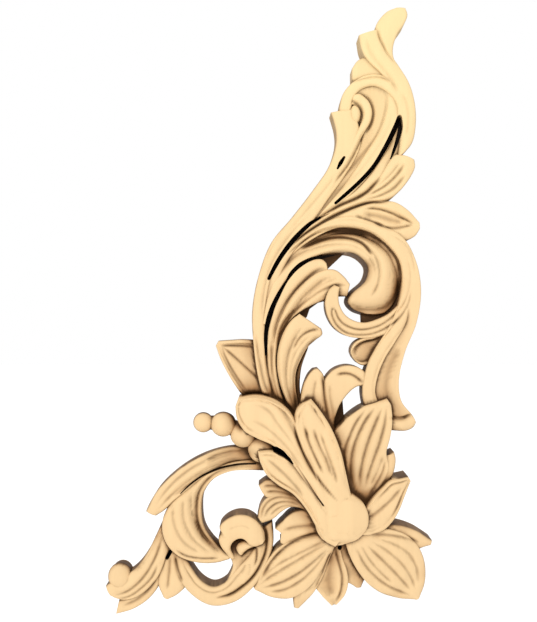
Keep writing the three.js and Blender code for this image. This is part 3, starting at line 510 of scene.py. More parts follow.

# Narrow cuts: the path, its widths from end to end, how high its floor lies above the
# back, and how dark the painted shade is down there.
SLITS = {
    "arm_slot": ([(-1, 177), (-3, 173.8), (-4.8, 170.6)], [1.2, 1.9, 1], 2, 1),
    "hood_slit": (
        [(25.9, 197), (23.6, 191), (20.3, 184.3), (17, 178.4), (13.8, 173.2), (10, 168.6), (6, 164.5),
         (2, 160.8), (-2, 157.3), (-6, 153.9)],
        [2.3, 2.6, 2.3, 2.1, 2, 1.9, 1.8, 1.4], 2, 1,
    ),
    "hood_gap": (
        [(26.1, 196.5), (26.2, 191), (25.5, 187.4), (23.7, 181.7), (21.4, 175.8)],
        [1.2, 2, 2, 1.6, 0.7], 5, 0.5,
    ),
    "arm_slit": (
        [(-12.4, 147.8), (-17, 145), (-21, 141.6), (-25, 137.5), (-29, 132.6), (-33, 126.8), (-36, 121.4),
         (-38.2, 117)],
        [1.3, 2.1, 2.4, 2.2, 1.7], 2, 1,
    ),
    "ball_slit": (
        [(-39.2, 80), (-39.1, 92), (-36.5, 102.5), (-32.8, 110.5), (-29.2, 116.6)],
        [1.3, 2, 2.6, 2.2, 1.2], 2, 1,
    ),
    "leaf_gap": (
        [(-29.6, 115.8), (-26.6, 120.6), (-22.6, 124.4), (-18, 127), (-12.5, 128.8)],
        [1, 2, 2.2, 1.8, 1], 4, 0.9,
    ),
    "petal_gap": ([(-36, 36.6), (-31.5, 34), (-28.3, 31.3), (-26.2, 28.9)], [3.4, 3.4, 2.2, 1], 4, 1),
    "petal_slot": (
        [(-24.8, 28.3), (-20.8, 22.5), (-16.4, 16), (-11.8, 9.7)],
        [1.2, 1.2, 1, 0.8], 22.6, 0,
    ),
    "arch_gap": (
        [(-81, 13), (-74, 19.1), (-65.4, 23.6), (-54.3, 26.3), (-44, 27)],
        [0.5, 0.9, 1.2, 1.1, 0.8], 7, 0.15,
    ),
    "tail_slot": ([(-85.5, -14.8), (-88.1, -19.6)], 1.9, 2, 1),
    "cup_dot": ([(-3.5, -11.2), (-3.5, -13.8)], 2.2, 4, 1),
}

# Low webs behind the pierced work.
WEBS = {
    "head_web": [
        (-8, 150), (-5, 164), (1, 177), (1.5, 203), (7, 211), (16, 214), (24, 208), (29, 198), (30, 188),
        (26, 178.5), (20, 170), (8, 156),
    ],
    "arm_web": [
        (-43, 84), (-43, 105), (-40, 120), (-34, 133), (-24, 143), (-12, 151), (-8, 142), (-14, 131),
        (-20, 127), (-17, 121), (-26, 111), (-31, 101), (-35, 83),
    ],
    "curl_web": [
        (-22, 122), (-19, 129.5), (-10, 132), (-3, 132.5), (-0.8, 130.2), (-9, 122.5), (-16, 120),
    ],
    "leaf_web": [
        (-28, 48), (-32, 60), (-35, 75), (-34, 89), (-29, 98), (-22, 104.5), (-12, 109), (-9.6, 107),
        (-13.5, 106), (-17.6, 103), (-19, 99), (-27, 92), (-30, 80), (-29, 64), (-23, 52),
    ],
    "bud_web": [(-9, 42), (-8, 58), (-3, 61), (-1.4, 59), (-1, 54), (-0.6, 49), (3, 42)],
    "gap_web": [(-37, 27), (-38, 40), (-24, 42), (-20, 26)],
}

# Carved lines in the front: how deep, how wide to each side, and the path, in millimetres.
LINES = {
    "crest": [
        (0.7, 0.7, [(14.6, 239), (16, 234), (17.5, 231), (19, 227.5), (21.5, 224.5), (24, 221.5)]),
        (0.6, 1.3, [(9, 235), (11.3, 227.5), (17.4, 219), (21.5, 213.5), (24.5, 207)]),
        (0.8, 0.8, [(2.8, 213.2), (6, 214.3), (9.5, 215), (13, 215.5), (17, 215.2), (21, 213.2)]),
        (0.5, 1.2, [(26.5, 208), (29, 202), (29.8, 194), (28.6, 186)]),
    ],
    "hood": [
        (1.3, 0.8, [(2, 204.2), (4, 203.2), (6, 201.5), (7.3, 199), (7.3, 196), (6, 192.5)]),
        (1.2, 0.7, [(8.5, 189.5), (5.5, 182), (3, 177), (0, 172), (-3.5, 167.5), (-6, 164)]),
        (0.5, 0.9, [(19.4, 210), (19.4, 203), (18.8, 199), (17.5, 194), (15.5, 189), (12.5, 184),
         (8, 178.5), (3, 172.5), (-3, 166), (-9, 159)]),
        (0.25, 4, [(8, 207), (13.5, 205), (15, 197), (12.5, 189), (7, 180.5)]),
        (1.2, 0.6, [(6, 207.9), (11, 204.6), (13, 199), (12, 193.3), (9.4, 188.6)]),
        (0.5, 1.6, [(22.5, 199), (19.5, 189.5), (14, 180), (7, 171), (-1, 163), (-8, 156.5)]),
    ],
    "arm": [
        (0.5, 1.1, [(-4.5, 169.2), (-10, 161.8), (-20.3, 149.8), (-29, 139.5)]),
        (0.4, 1.2, [(-5.5, 186), (-6.8, 178), (-12, 168.5), (-19.5, 157.5), (-28.5, 145.5), (-36, 133.5),
         (-40.9, 122), (-42.8, 108.6)]),
        (0.6, 1.1, [(-16.5, 150), (-24, 143), (-31, 134), (-37, 123.5), (-40, 112), (-41.5, 99)]),
        (1.9, 0.9, [(17, 167), (14, 164), (10, 160), (5, 157), (0, 154.8), (-4.5, 152.8), (-9, 150.2),
         (-13, 147.6), (-18, 143.6)]),
        (1.2, 1, [(28, 173.5), (24.2, 168), (18.6, 162.8), (10, 158)]),
        (1, 1, [(28.4, 168), (23, 161.8), (16.5, 158.2), (9, 156)]),
        (0.7, 0.9, [(26, 174), (20.5, 167.5), (14, 162)]),
    ],
    "scroll": [
        (1.3, 0.8, [(9, 151.6), (12.5, 151.9), (17, 151.2), (22, 149.5), (27, 147.2), (32.2, 144.3)]),
        (1, 0.8, [(32.2, 144), (27, 142.7), (23, 142.2), (19, 142.5), (13, 145)]),
        (1.6, 2.4, [(8, 148.7), (14, 148.4), (20, 146.8), (28, 144.8)]),
        (0.9, 0.9, [(4, 148.3), (7.7, 147), (11, 146), (14, 144.7), (18, 143)]),
        (0.35, 0.8, [(-24, 135), (-15.4, 141.4), (-8, 144.8), (0.4, 146.1), (8, 145.1), (14, 143)]),
        (1.9, 0.9, [(-28, 131.8), (-23.3, 137), (-15.4, 142.8), (-6.9, 147.9), (-0.8, 150.6), (5.3, 153),
         (11.4, 154.7), (18, 155), (23, 157)]),
        (1.3, 0.8, [(-28.5, 129), (-26, 132), (-22, 135.4), (-15, 139.6), (-10, 141.2), (-2, 142.4)]),
        (0.3, 0.8, [(20.5, 138.7), (25, 136.7), (28.5, 134), (31.5, 128), (33, 120)]),
        (0.7, 0.5, [(10, 139.8), (15.4, 137.3), (20.6, 132.6), (24.6, 126.2), (26.5, 120)]),
        (0.25, 0.8, [(29, 128), (30.4, 121), (30.4, 113), (29.9, 106)]),
        (1.6, 2.2, [(26.5, 118), (25, 111), (22, 106), (17.5, 103), (12, 102.4), (6, 103), (2, 106)]),
        (2.2, 1, [(-22, 132.4), (-16, 135.2), (-10.5, 137.2), (-5.6, 138.1), (-0.8, 138), (4.1, 136.9),
         (7.6, 135), (10.2, 132.2), (12, 128.6)]),
        (0.8, 1.4, [(-33, 120.5), (-25, 128.6), (-15, 133), (-5, 134.7), (3, 133.8), (9, 130),
         (13, 124.5), (13.6, 118), (11, 112.5)]),
        (0.7, 3.6, [(10, 127.5), (12, 121), (10.8, 115), (7.5, 109.5), (4, 106)]),
        (1, 1.2, [(9, 133.8), (13.4, 128.8), (15.6, 121), (14.6, 114), (11.5, 108.5)]),
        (0.8, 0.7, [(31.4, 113), (29.3, 104.6), (25, 98.2), (20, 94.4), (17, 92.7), (13, 91.1), (8, 90.3),
         (3, 90.6), (-1, 91.9), (-4, 94.2), (-6, 97), (-7.4, 101.3), (-6.9, 103), (-5.8, 102.6),
         (-4.5, 99.3), (-2.5, 96.5), (0, 94.8), (4, 93.3), (8, 93), (12, 93.7), (16, 95), (20, 97.5),
         (24, 101), (27.4, 105.5), (29.4, 111), (29.8, 118)]),
        (0.45, 0.8, [(30.2, 105), (29.5, 99), (28, 95), (25, 91), (22, 87), (18.5, 82), (16, 77),
         (14, 72), (13, 66), (13.2, 62), (14, 58), (16.5, 55)]),
        (0.2, 1.6, [(25, 97), (19, 88), (14, 80), (11.3, 72), (10.7, 64)]),
        (1, 0.8, [(20, 50.6), (22.5, 50), (26, 49.5), (29, 50.3), (31, 52)]),
        (0.8, 2.4, [(25.6, 84), (21, 74), (19.3, 65), (20.5, 58)]),
    ],
    "inner_leaves": [
        (1.3, 1.2, [(-10, 123), (-13, 122.4), (-16.5, 120.3), (-20.5, 116.8), (-25.5, 111.5), (-30, 105),
         (-34, 96), (-36, 86)]),
        (1.2, 1.4, [(-7, 118.8), (-11, 117.3), (-15, 114.3), (-20, 109.7), (-24, 105), (-28, 99),
         (-31, 94), (-33.8, 85)]),
        (0.6, 1.2, [(-4, 118.2), (-10, 115.6), (-16, 111.6), (-21.5, 106), (-26, 100.3)]),
        (0.8, 0.9, [(1, 114.3), (-4, 114.7), (-8, 113.8), (-13, 111.5), (-18, 108), (-22, 104.8),
         (-26, 101), (-29, 97), (-32, 90)]),
        (1.5, 1, [(-23.4, 51), (-24.4, 57), (-25.3, 64), (-25, 72), (-22.4, 79), (-19.2, 84.3),
         (-15.7, 87.9), (-13, 90.2)]),
        (1, 0.9, [(-12.8, 93.2), (-17, 92.6), (-20, 91.3), (-23, 88.6), (-26, 83)]),
        (1.1, 1.4, [(-22, 94), (-25.5, 88), (-28, 82), (-29.2, 75), (-29, 67), (-27.3, 60), (-25, 54)]),
        (0.7, 1.2, [(-17, 90.3), (-22, 86), (-25.5, 80), (-27, 72), (-26.8, 64), (-25.4, 57)]),
        (1.2, 1, [(-44.3, 90), (-43, 80), (-42, 75), (-41, 70), (-39.5, 65), (-37, 60)]),
        (1.6, 1.1, [(-39.3, 84), (-39, 77), (-38.3, 71), (-37, 66), (-35.5, 61), (-34, 57)]),
        (1.1, 1.1, [(-36.3, 88), (-36.6, 78), (-35.8, 70), (-34, 62), (-31.5, 56)]),
        (0.9, 1.1, [(-41.9, 84), (-41, 76), (-39.7, 69), (-37.5, 63), (-35.5, 58.5)]),
        (1.1, 1, [(-25, 103), (-28, 99.5), (-31, 95), (-32.6, 90), (-33.3, 85), (-33.7, 79), (-33.4, 73),
         (-32.7, 68), (-31.5, 62), (-30, 58), (-28, 54.5)]),
        (0.8, 0.8, [(-60.5, 84.3), (-55, 79.6), (-48, 73.2), (-42, 68)]),
        (0.7, 0.6, [(-61.5, 84.8), (-57, 84.9), (-50, 84.7), (-45, 84.2)]),
        (0.5, 0.6, [(-61, 84.5), (-58.9, 79), (-54.7, 71.2), (-49, 63)]),
        (0.7, 0.8, [(18, 90.8), (14, 88.3), (9.5, 87.3), (6.4, 85.6), (4.4, 82.8), (4.2, 80.2)]),
        (1, 0.9, [(-5, 71.2), (-1, 71.8), (2, 71.3), (5, 69.6), (7.6, 67.2)]),
        (1.1, 0.9, [(-12.2, 71), (-11.3, 66), (-10.8, 60), (-9, 50)]),
        (0.6, 1.1, [(-8.6, 67), (-8.3, 60), (-6.8, 53), (-5, 47)]),
        (0.6, 1, [(-15, 69), (-16.2, 61), (-15.5, 53)]),
    ],
    "flower": [
        (2, 0.8, [(-25.3, 48), (-25.4, 51.1), (-29.2, 56.2), (-36.7, 59.9), (-42.7, 61.2), (-48.7, 60.8),
         (-52.5, 59.2)]),
        (0.5, 0.55, [(-45, 44.3), (-48.8, 46.8), (-51.7, 51.5), (-52.3, 56.5), (-51, 58.6), (-44, 59.3),
         (-36.5, 57.4), (-30.3, 53.4), (-26.6, 48)]),
        (0.5, 0.55, [(-24, 46), (-23, 53.5), (-20.6, 57), (-18.6, 57.8), (-15.5, 54), (-10.4, 46)]),
        (0.4, 0.55, [(-21, 10.8), (-26.5, 16.8), (-33.4, 20.9), (-38, 25), (-41, 30.2), (-41.8, 32.6),
         (-37, 33), (-31, 31)]),
        (0.5, 0.55, [(14.5, 12), (18.3, 15.8), (21.5, 18.6), (25.6, 19.6), (29.3, 20.6), (26.2, 13.6),
         (23.8, 8), (20.8, 3)]),
        (0.55, 1.4, [(-46, 57), (-41.5, 56.5), (-37.5, 53.7), (-34, 48.7), (-27.5, 40.4), (-21, 31),
         (-14.5, 21)]),
        (0.5, 1.4, [(-46, 49.8), (-41, 47.4), (-36, 43.8), (-30.1, 38), (-24, 30.5), (-18, 22)]),
        (0.7, 1.5, [(-34, 56), (-29.5, 51), (-25.5, 43.5), (-21, 35), (-16, 26)]),
        (0.9, 0.8, [(-25.6, 49), (-25, 44), (-23.3, 38.5), (-20.8, 33), (-18, 28), (-14, 22), (-9, 16),
         (-5, 12)]),
        (1.1, 1, [(-20.8, 47), (-19, 40), (-16, 33), (-12, 25)]),
        (1.2, 1.2, [(-16.8, 46), (-14, 38.5), (-10.5, 31), (-8, 24)]),
        (1, 1.1, [(-13.6, 44.5), (-11, 37), (-8, 29), (-5.5, 20.5)]),
        (0.4, 1, [(-22.5, 53), (-21, 47), (-18.6, 41)]),
        (0.7, 1.2, [(-39, 31.7), (-33, 26.5), (-27, 20.6), (-21.5, 14)]),
        (1, 1, [(9, 55), (4, 48), (1, 41.5), (-1.2, 35), (-1.6, 28), (-0.8, 20), (2, 14.5)]),
        (1.2, 1.2, [(13.5, 56), (8.5, 49), (5, 42), (2.7, 35), (1.8, 28), (2, 21), (3.8, 15)]),
        (1.2, 1.3, [(17, 56), (13.5, 48), (10.3, 40), (8, 32), (6.5, 24), (6.3, 16)]),
        (1.1, 1.3, [(18.9, 56), (18, 48), (16, 40), (13.3, 32), (10.6, 24), (8.6, 16)]),
        (0.7, 1.2, [(17.2, 32), (14.8, 25), (11.5, 17.5)]),
        (0.8, 0.9, [(18.4, 30), (17, 24), (13.5, 17), (10.5, 12.8)]),
        (0.8, 1.2, [(8.5, 2), (14.5, 6), (20.5, 11), (26.5, 17.5)]),
        (0.6, 1.2, [(11, -8), (18, -12.5), (25, -18.5), (30.5, -26), (33.5, -34)]),
        (0.75, 1.2, [(9, -10), (14, -15), (20, -21), (26, -27.5), (31, -33.5)]),
        (0.8, 1.1, [(4, -11.5), (8, -19.5), (12.5, -25), (18.5, -30), (26, -34), (31.5, -36)]),
        (0.6, 1.2, [(12, -6.5), (21, -9.5), (29, -14.5), (33.3, -21.5), (34.6, -30)]),
        (0.6, 1.1, [(6.5, -10.5), (10.5, -17.5), (16, -24), (22.5, -30)]),
        (0.9, 1.2, [(11, -5.2), (19, -5.6), (27, -7.2), (35, -10)]),
        (0.9, 0.8, [(-5.6, -12), (-4.8, -17), (-3.4, -22), (-2.2, -27), (-2.2, -32), (-3.3, -36.5),
         (-5.2, -40)]),
        (1.2, 3, [(-7.2, -15), (-8, -23), (-8.6, -31), (-6.8, -37)]),
        (1.3, 1, [(-11, -4.5), (-18, -6.3), (-23, -8.2), (-28, -11), (-32, -14.5), (-36, -19), (-39, -24),
         (-42, -29.6)]),
        (1, 1.3, [(-43, -31.8), (-36, -26.3), (-28, -21), (-19, -15.3), (-10.5, -10.3)]),
        (1.1, 1.3, [(-42, -33), (-34, -30.6), (-26, -26.6), (-17, -19.8), (-9.5, -12.5)]),
        (0.9, 1.3, [(-40.5, -27.5), (-34, -21.5), (-26, -16.6), (-17, -11.8), (-10, -8)]),
        (0.9, 1.2, [(-39, -34.8), (-30.5, -33.3), (-22, -28.2), (-14, -20), (-8.5, -13)]),
        (1.1, 0.9, [(-7.5, -13), (-9.8, -20), (-12.4, -26.8), (-15.5, -33)]),
        (0.8, 1.2, [(-31, -4.2), (-25, -2.6), (-18, -1.8), (-12, -2)]),
        (0.9, 0.9, [(-41.6, 1), (-40.6, 6), (-38.3, 9.4), (-35, 11.3), (-31, 11.9), (-26.5, 11),
         (-22, 9.6)]),
        (1, 0.9, [(-40, 1.6), (-38.6, 5), (-36, 7.6), (-33, 9.2), (-28.5, 9.6), (-23, 8.4)]),
        (0.7, 0.8, [(-37.5, 2.6), (-34.5, 5.5), (-30.5, 7.6), (-25, 7.6)]),
        (0.9, 0.9, [(-40.5, 17.2), (-36, 17.2), (-31, 15.9), (-26, 13.4)]),
        (1, 0.9, [(-39.5, 14.2), (-35, 14.6), (-30, 13.8), (-25, 11.6)]),
    ],
    "beads": [
        (2.4, 1.2, [(-56, 54), (-54.8, 51), (-53.4, 47.4), (-50, 44)]),
    ],
    "low_scroll": [
        (0.9, 1.4, [(-93.5, 6), (-89, 13), (-81.5, 21), (-72, 27.3), (-62, 31.2), (-50, 32.6),
         (-42, 32.6)]),
        (1, 1.4, [(-92, 5), (-86, 11.8), (-77.5, 18.9), (-68, 24.7), (-58, 28.5), (-46, 29.9)]),
        (1.6, 3, [(-68, 28.4), (-56, 31.2), (-42, 31.6)]),
        (1.3, 1.1, [(-84, 12), (-76, 17.6), (-68, 23), (-58, 26.8), (-46, 27.8), (-40, 27.6)]),
        (0.9, 1.7, [(-84, 8.5), (-84.3, 0.5), (-79.5, -9.5), (-70.1, -16.2)]),
        (0.9, 1.6, [(-79.5, 13.3), (-79, 0.3), (-73.5, -9.8), (-65, -15.8)]),
        (0.9, 1.3, [(-75.5, 16), (-75, 2.7), (-70, -7.5), (-62, -14)]),
        (1.6, 1.1, [(-44, 25.8), (-52, 26), (-60, 24.3), (-67, 20.3), (-72, 13.5), (-73.2, 4.8),
         (-71.8, -3.8), (-67.5, -10.8), (-61.5, -15.6)]),
        (1, 0.9, [(-83, -14), (-78.5, -16.8), (-71, -18), (-62, -18.2)]),
        (1.1, 0.7, [(-51.6, -18.2), (-49.4, -15.6), (-47.3, -14), (-45.1, -13.2), (-43.9, -14.2),
         (-43.7, -16.5), (-44, -19.5), (-44.8, -22.6)]),
        (0.5, 0.8, [(-40.4, -10.6), (-41, -13.8), (-42, -18), (-42.9, -21)]),
        (0.45, 0.6, [(-80.5, -19.5), (-77, -26), (-72.5, -31.7), (-66, -34.9), (-59.3, -33.2),
         (-53.5, -27.4), (-48.5, -21)]),
        (1.6, 0.9, [(-40.6, -1.5), (-39.4, -5.7), (-38.9, -10), (-39.4, -14.9), (-40.8, -19.2),
         (-43.2, -24), (-46.2, -28.1), (-50, -31.6), (-56, -35.6), (-64, -37.6)]),
        (0.35, 0.8, [(-49.4, -20.3), (-49.7, -23), (-51, -26)]),
        (0.35, 0.8, [(-47.6, -20.3), (-47, -23), (-47.8, -27)]),
        (0.3, 1, [(-50.5, -30.5), (-53.5, -33), (-58, -35)]),
        (0.3, 1.2, [(-57.5, -4), (-54.5, -2.4), (-50, -1.8), (-46, -3.6)]),
        (0.9, 0.9, [(-83.8, -18), (-82.3, -24), (-80, -30)]),
        (0.7, 1, [(-86, -18), (-86.6, -26), (-87.4, -34)]),
        (1.1, 1.1, [(-113, -36.4), (-107, -34.6), (-102, -31), (-98, -26.5), (-94.6, -21), (-92, -15),
         (-90, -8)]),
        (1, 1, [(-112.5, -38.7), (-106, -37.1), (-100, -33), (-95, -28), (-91.8, -21)]),
        (0.9, 2.4, [(-91.6, -5), (-94.5, -13.5), (-99.5, -21), (-104.5, -25.3)]),
        (0.6, 0.9, [(-109, -42), (-102, -38.8), (-96, -33.5), (-92.5, -28)]),
    ],
}


def along(levels, s):
    """A smooth value at each share s of a piece's length, from one number or several."""
    levels = np.atleast_1d(np.asarray(levels, float))
    if len(levels) == 1:
        return np.full_like(s, levels[0])
    place = s * (len(levels) - 1)
    first = np.minimum(place.astype(int), len(levels) - 2)
    share = place - first
    share = share * share * (3 - 2 * share)
    return levels[first] * (1 - share) + levels[first + 1] * share


def smooth_line(points, shares):
    """Points at the given shares of a centripetal Catmull-Rom line, and its length."""
    p = np.asarray(points, float)
    p = np.vstack([2 * p[0] - p[1], p, 2 * p[-1] - p[-2]])
    run = []
    for a, b, c, d in zip(p, p[1:], p[2:], p[3:]):
        t0 = 0.0
        t1 = t0 + math.sqrt(np.linalg.norm(b - a))
        t2 = t1 + math.sqrt(np.linalg.norm(c - b))
        t3 = t2 + math.sqrt(np.linalg.norm(d - c))
        t = np.linspace(t1, t2, SPAN_STEPS, endpoint=False)[:, None]
        ab = (t1 - t) / (t1 - t0) * a + (t - t0) / (t1 - t0) * b
        bc = (t2 - t) / (t2 - t1) * b + (t - t1) / (t2 - t1) * c
        cd = (t3 - t) / (t3 - t2) * c + (t - t2) / (t3 - t2) * d
        abc = (t2 - t) / (t2 - t0) * ab + (t - t0) / (t2 - t0) * bc
        bcd = (t3 - t) / (t3 - t1) * bc + (t - t1) / (t3 - t1) * cd
        run.append((t2 - t) / (t2 - t1) * abc + (t - t1) / (t2 - t1) * bcd)
    run = np.vstack(run + [p[-2:-1]])
    reach = np.concatenate([[0], np.cumsum(np.linalg.norm(np.diff(run, axis=0), axis=1))])
    at = np.asarray(shares) * reach[-1]
    return np.stack([np.interp(at, reach, run[:, k]) for k in (0, 1)], axis=1), reach[-1]


def clockwise(x, z):
    """Whether a ring of points runs clockwise when x is drawn to the right and z up."""
    return np.sum(x * np.roll(z, -1) - np.roll(x, -1) * z) < 0


def standing(front, flare=0.0):
    """Vertices and faces of a closed solid under a grid of front points [x, height, z].

    Its foot stands out from its front by the flare.
    """
    rows, columns = front.shape[:2]
    ring = [(0, j) for j in range(columns)]
    ring += [(i, columns - 1) for i in range(1, rows)]
    ring += [(rows - 1, j) for j in range(columns - 2, -1, -1)]
    ring += [(i, 0) for i in range(rows - 2, 0, -1)]
    places = front.reshape(-1, 3)
    foot = places[[i * columns + j for i, j in ring]].copy()
    foot[:, 1] = 0
    turned = clockwise(foot[:, 0], foot[:, 2])
    ahead = np.roll(foot, -1, axis=0) - np.roll(foot, 1, axis=0)
    out = np.stack([ahead[:, 2], ahead[:, 1] * 0, -ahead[:, 0]], axis=1)
    out /= np.maximum(np.linalg.norm(out, axis=1), TINY)[:, None]
    foot += out * (-flare if turned else flare)
    base = len(places)
    faces = []
    for i in range(rows - 1):
        for j in range(columns - 1):
            a = i * columns + j
            faces.append((a, a + 1, a + columns + 1, a + columns))
    count = len(ring)
    for k, (i, j) in enumerate(ring):
        m, n = ring[(k + 1) % count]
        faces.append((i * columns + j, base + k, base + (k + 1) % count, m * columns + n))
    faces.append(tuple(range(base + count - 1, base - 1, -1)))
    if turned:
        faces = [face[::-1] for face in faces]
    return np.vstack([places, foot]), faces


def rolled(roll, reach):
    """Shares of a reach at which the rows of an edge rolled over by a quarter turn lie."""
    return roll * (1 - np.cos(np.linspace(0, math.pi / 2, ROLL_STEPS + 1))) / reach


def edge_shares(width, roll, spacing):
    """Shares across a piece, closer together where its edges are rolled over."""
    edge = np.minimum(rolled(roll, width), MOST_ROLLED)
    inner = np.linspace(edge[-1], 1 - edge[-1], max(FEWEST_ACROSS, int(width / spacing)))
    return np.concatenate([edge[:-1], inner, 1 - edge[:-1][::-1]])


def leaf(left, right, size, rise, crown=0, tilt=0, rim=None, flare=0.0):
    """A leaf, petal or strand between two rails that both run from its root to its tip."""
    length = max(smooth_line(rail, [0, 1])[1] for rail in (left, right))
    s = np.linspace(0, 1, max(FEWEST_STATIONS, int(length / size["step"])))
    near = rolled(size["roll"], length)
    s = np.concatenate([s[s < 1 - near[-1]], 1 - near[::-1]])
    a, _ = smooth_line(left, s)
    b, _ = smooth_line(right, s)
    gap = b - a
    width = np.linalg.norm(gap, axis=1)
    out = gap / width[:, None] * EDGE_OUTSET
    a, b = a - out, b + out
    width = width + 2 * EDGE_OUTSET
    t = edge_shares(width.max(), size["roll"], size["spacing"])
    places = a[:, None] * (1 - t[None, :, None]) + b[:, None] * t[None, :, None]
    inward = np.minimum(t, 1 - t)[None] * width[:, None]
    level = along(rise, s)[:, None] + along(tilt, s)[:, None] * (t - 0.5)[None]
    level = level + along(crown, s)[:, None] * (1 - (2 * t - 1) ** 2)[None]
    if rim:
        border = np.minimum(rim[0], MOST_BORDER * width)[:, None]
        step = np.clip((inward - border) / RIM_SLOPE, 0, 1)
        level = level - rim[1] * (step * step * (3 - 2 * step)) * np.sin(math.pi * s)[:, None]
    inward = np.minimum(inward, ((1 - s) * length)[:, None])
    short = np.clip(1 - inward / size["roll"], 0, 1)
    drop = size["roll"] * (1 - np.sqrt(1 - short * short))
    front = np.empty(places.shape[:2] + (3,))
    front[..., 0] = places[..., 0]
    front[..., 2] = places[..., 1]
    front[..., 1] = np.maximum(level * size["depth"] - drop, THINNEST)
    return standing(front, flare)


def web(points, size):
    """A low web of wood with an even front, which ties the leaves together at the back."""
    count = len(points)
    front = [(x, WEB_HEIGHT * size["depth"], z) for x, z in points]
    back = [(x, 0, z) for x, z in points]
    faces = [tuple(range(count)), tuple(range(2 * count - 1, count - 1, -1))]
    faces += [(k, count + k, count + (k + 1) % count, (k + 1) % count) for k in range(count)]
    if clockwise(*np.array(points).T):
        faces = [face[::-1] for face in faces]
    return np.array(front + back), faces


def slit(path, widths, floor):
    """A cutter with round ends along a path, from its floor to above the carving."""
    shares = (1 - np.cos(np.linspace(0, math.pi, SLIT_STEPS + 1))) / 2
    middle, length = smooth_line(path, shares)
    ahead = np.gradient(middle, axis=0)
    side = np.stack([ahead[:, 1], -ahead[:, 0]], axis=1)
    side /= np.linalg.norm(side, axis=1)[:, None]
    half = along(widths, shares) / 2
    from_end = np.minimum(shares, 1 - shares) * length
    short = np.clip(1 - from_end / half, 0, SLIT_END)
    half = (half * np.sqrt(1 - short * short))[:, None]
    front = np.full((SLIT_STEPS + 1, 2, 3), 2 * DRAWN_RELIEF)
    front[:, 0, ::2] = middle - side * half
    front[:, 1, ::2] = middle + side * half
    places, faces = standing(front)
    places[:, 1] = np.maximum(places[:, 1], floor)
    return places, faces


def ball(place, radii, top, round_up, size):
    """A ball or dome on a foot down to the back; a ball is undercut below its girth."""
    rx, rz = radii
    girth = top * size["depth"] - round_up
    lowest = UNDERCUT if round_up >= min(radii) else 0.0
    angles = np.linspace(lowest, math.pi / 2, BALL_RINGS)[:-1]
    profile = [(math.cos(angles[0]), 0.0)]
    profile += [(math.cos(a), girth + round_up * math.sin(a)) for a in angles]
    places = [(0.0, 0.0, 0.0), (0.0, girth + round_up, 0.0)]
    for out, level in profile:
        for k in range(BALL_TURNS):
            turn = 2 * math.pi * k / BALL_TURNS
            places.append((out * rx * math.cos(turn), level, out * rz * math.sin(turn)))
    faces = []
    for k in range(BALL_TURNS):
        n = (k + 1) % BALL_TURNS
        faces.append((0, 2 + k, 2 + n))
        for ring in range(len(profile) - 1):
            low = 2 + ring * BALL_TURNS
            faces.append((low + k, low + BALL_TURNS + k, low + BALL_TURNS + n, low + n))
        crown = 2 + (len(profile) - 1) * BALL_TURNS
        faces.append((1, crown + n, crown + k))
    places = np.array(places)
    places[:, 0] += place[0]
    places[:, 2] += place[1]
    return places, faces


def carved_lines(places, depth):
    """The heights of [x, height, z] points once each carved line has lowered the front."""
    taken = np.zeros(len(places))
    spot = places[:, ::2]
    for deep, half, path in (line for lines in LINES.values() for line in lines):
        _, length = smooth_line(path, [0, 1])
        count = max(FEWEST_LINE_POINTS, int(length / LINE_SPACING))
        run, _ = smooth_line(path, np.linspace(0, 1, count))
        low, high = run.min(axis=0) - LINE_REACH * half, run.max(axis=0) + LINE_REACH * half
        near = np.flatnonzero(np.all((spot > low) & (spot < high), axis=1))
        start, step = run[:-1], np.diff(run, axis=0)
        off = spot[near, None] - start[None]
        share = np.sum(off * step, axis=2) / np.sum(step * step, axis=1)
        share = np.clip(share, 0, 1)
        gap = np.linalg.norm(off - share[..., None] * step[None], axis=2)
        best = gap.argmin(axis=1)
        rows = np.arange(len(near))
        travel = (best + share[rows, best]) / len(step)
        fade = np.clip(np.minimum(travel, 1 - travel) / LINE_FADE, 0, 1)
        bell = np.exp(-((gap[rows, best] / half) ** BELL_CURVE))
        taken[near] += LINE_GAIN * deep * depth * fade ** FADE_CURVE * bell
    share = np.clip((places[:, 1] / depth - UNCARVED_BELOW) / UNCARVED_FADE, 0, 1)
    return places[:, 1] - np.minimum(taken, MOST_TAKEN * depth) * share


def cut_shade(places, depth):
    """How dark the painted shade is at each [x, height, z] point, down inside one of the narrow cuts."""
    shade = np.zeros(len(places))
    shares = np.linspace(0, 1, SHADE_STEPS)
    for path, widths, floor, dark in SLITS.values():
        run, _ = smooth_line(path, shares)
        reach = along(widths, shares) / 2 + SHADE_PAST
        gap = np.linalg.norm(places[:, None, ::2] - run[None], axis=2)
        inside = np.any(gap < reach[None], axis=1)
        shade[inside & (places[:, 1] < (floor + SHADE_ABOVE) * depth)] = dark
    return shade


def new_mesh(name, places, faces):
    """A mesh from [x, height, z] in millimetres on the drawing, in the frame's metres."""
    points = np.stack([places[:, 0], -places[:, 1], places[:, 2]], axis=1) * MM
    mesh = bpy.data.meshes.new(name)
    mesh.from_pydata(points.tolist(), [], faces)
    mesh.validate()
    return mesh


def new_object(name, mesh):
    """An object that holds the mesh, linked to the scene."""
    item = bpy.data.objects.new(name, mesh)
    bpy.context.scene.collection.objects.link(item)
    return item


def points_of(mesh):
    """The mesh's vertices as rows of x, y and z."""
    points = np.empty(len(mesh.vertices) * 3)
    mesh.vertices.foreach_get("co", points)
    return points.reshape(-1, 3)


def store(mesh, name, values):
    """Keeps one number for each vertex, for the wood to read."""
    mesh.attributes.new(name, "FLOAT", "POINT").data.foreach_set("value", values)


def gathered(title, shapes):
    """A collection, outside the scene, with an object for each named shape."""
    parts = bpy.data.collections.new(title)
    for name, (places, faces) in shapes:
        parts.objects.link(bpy.data.objects.new(name, new_mesh(name, places, faces)))
    return parts


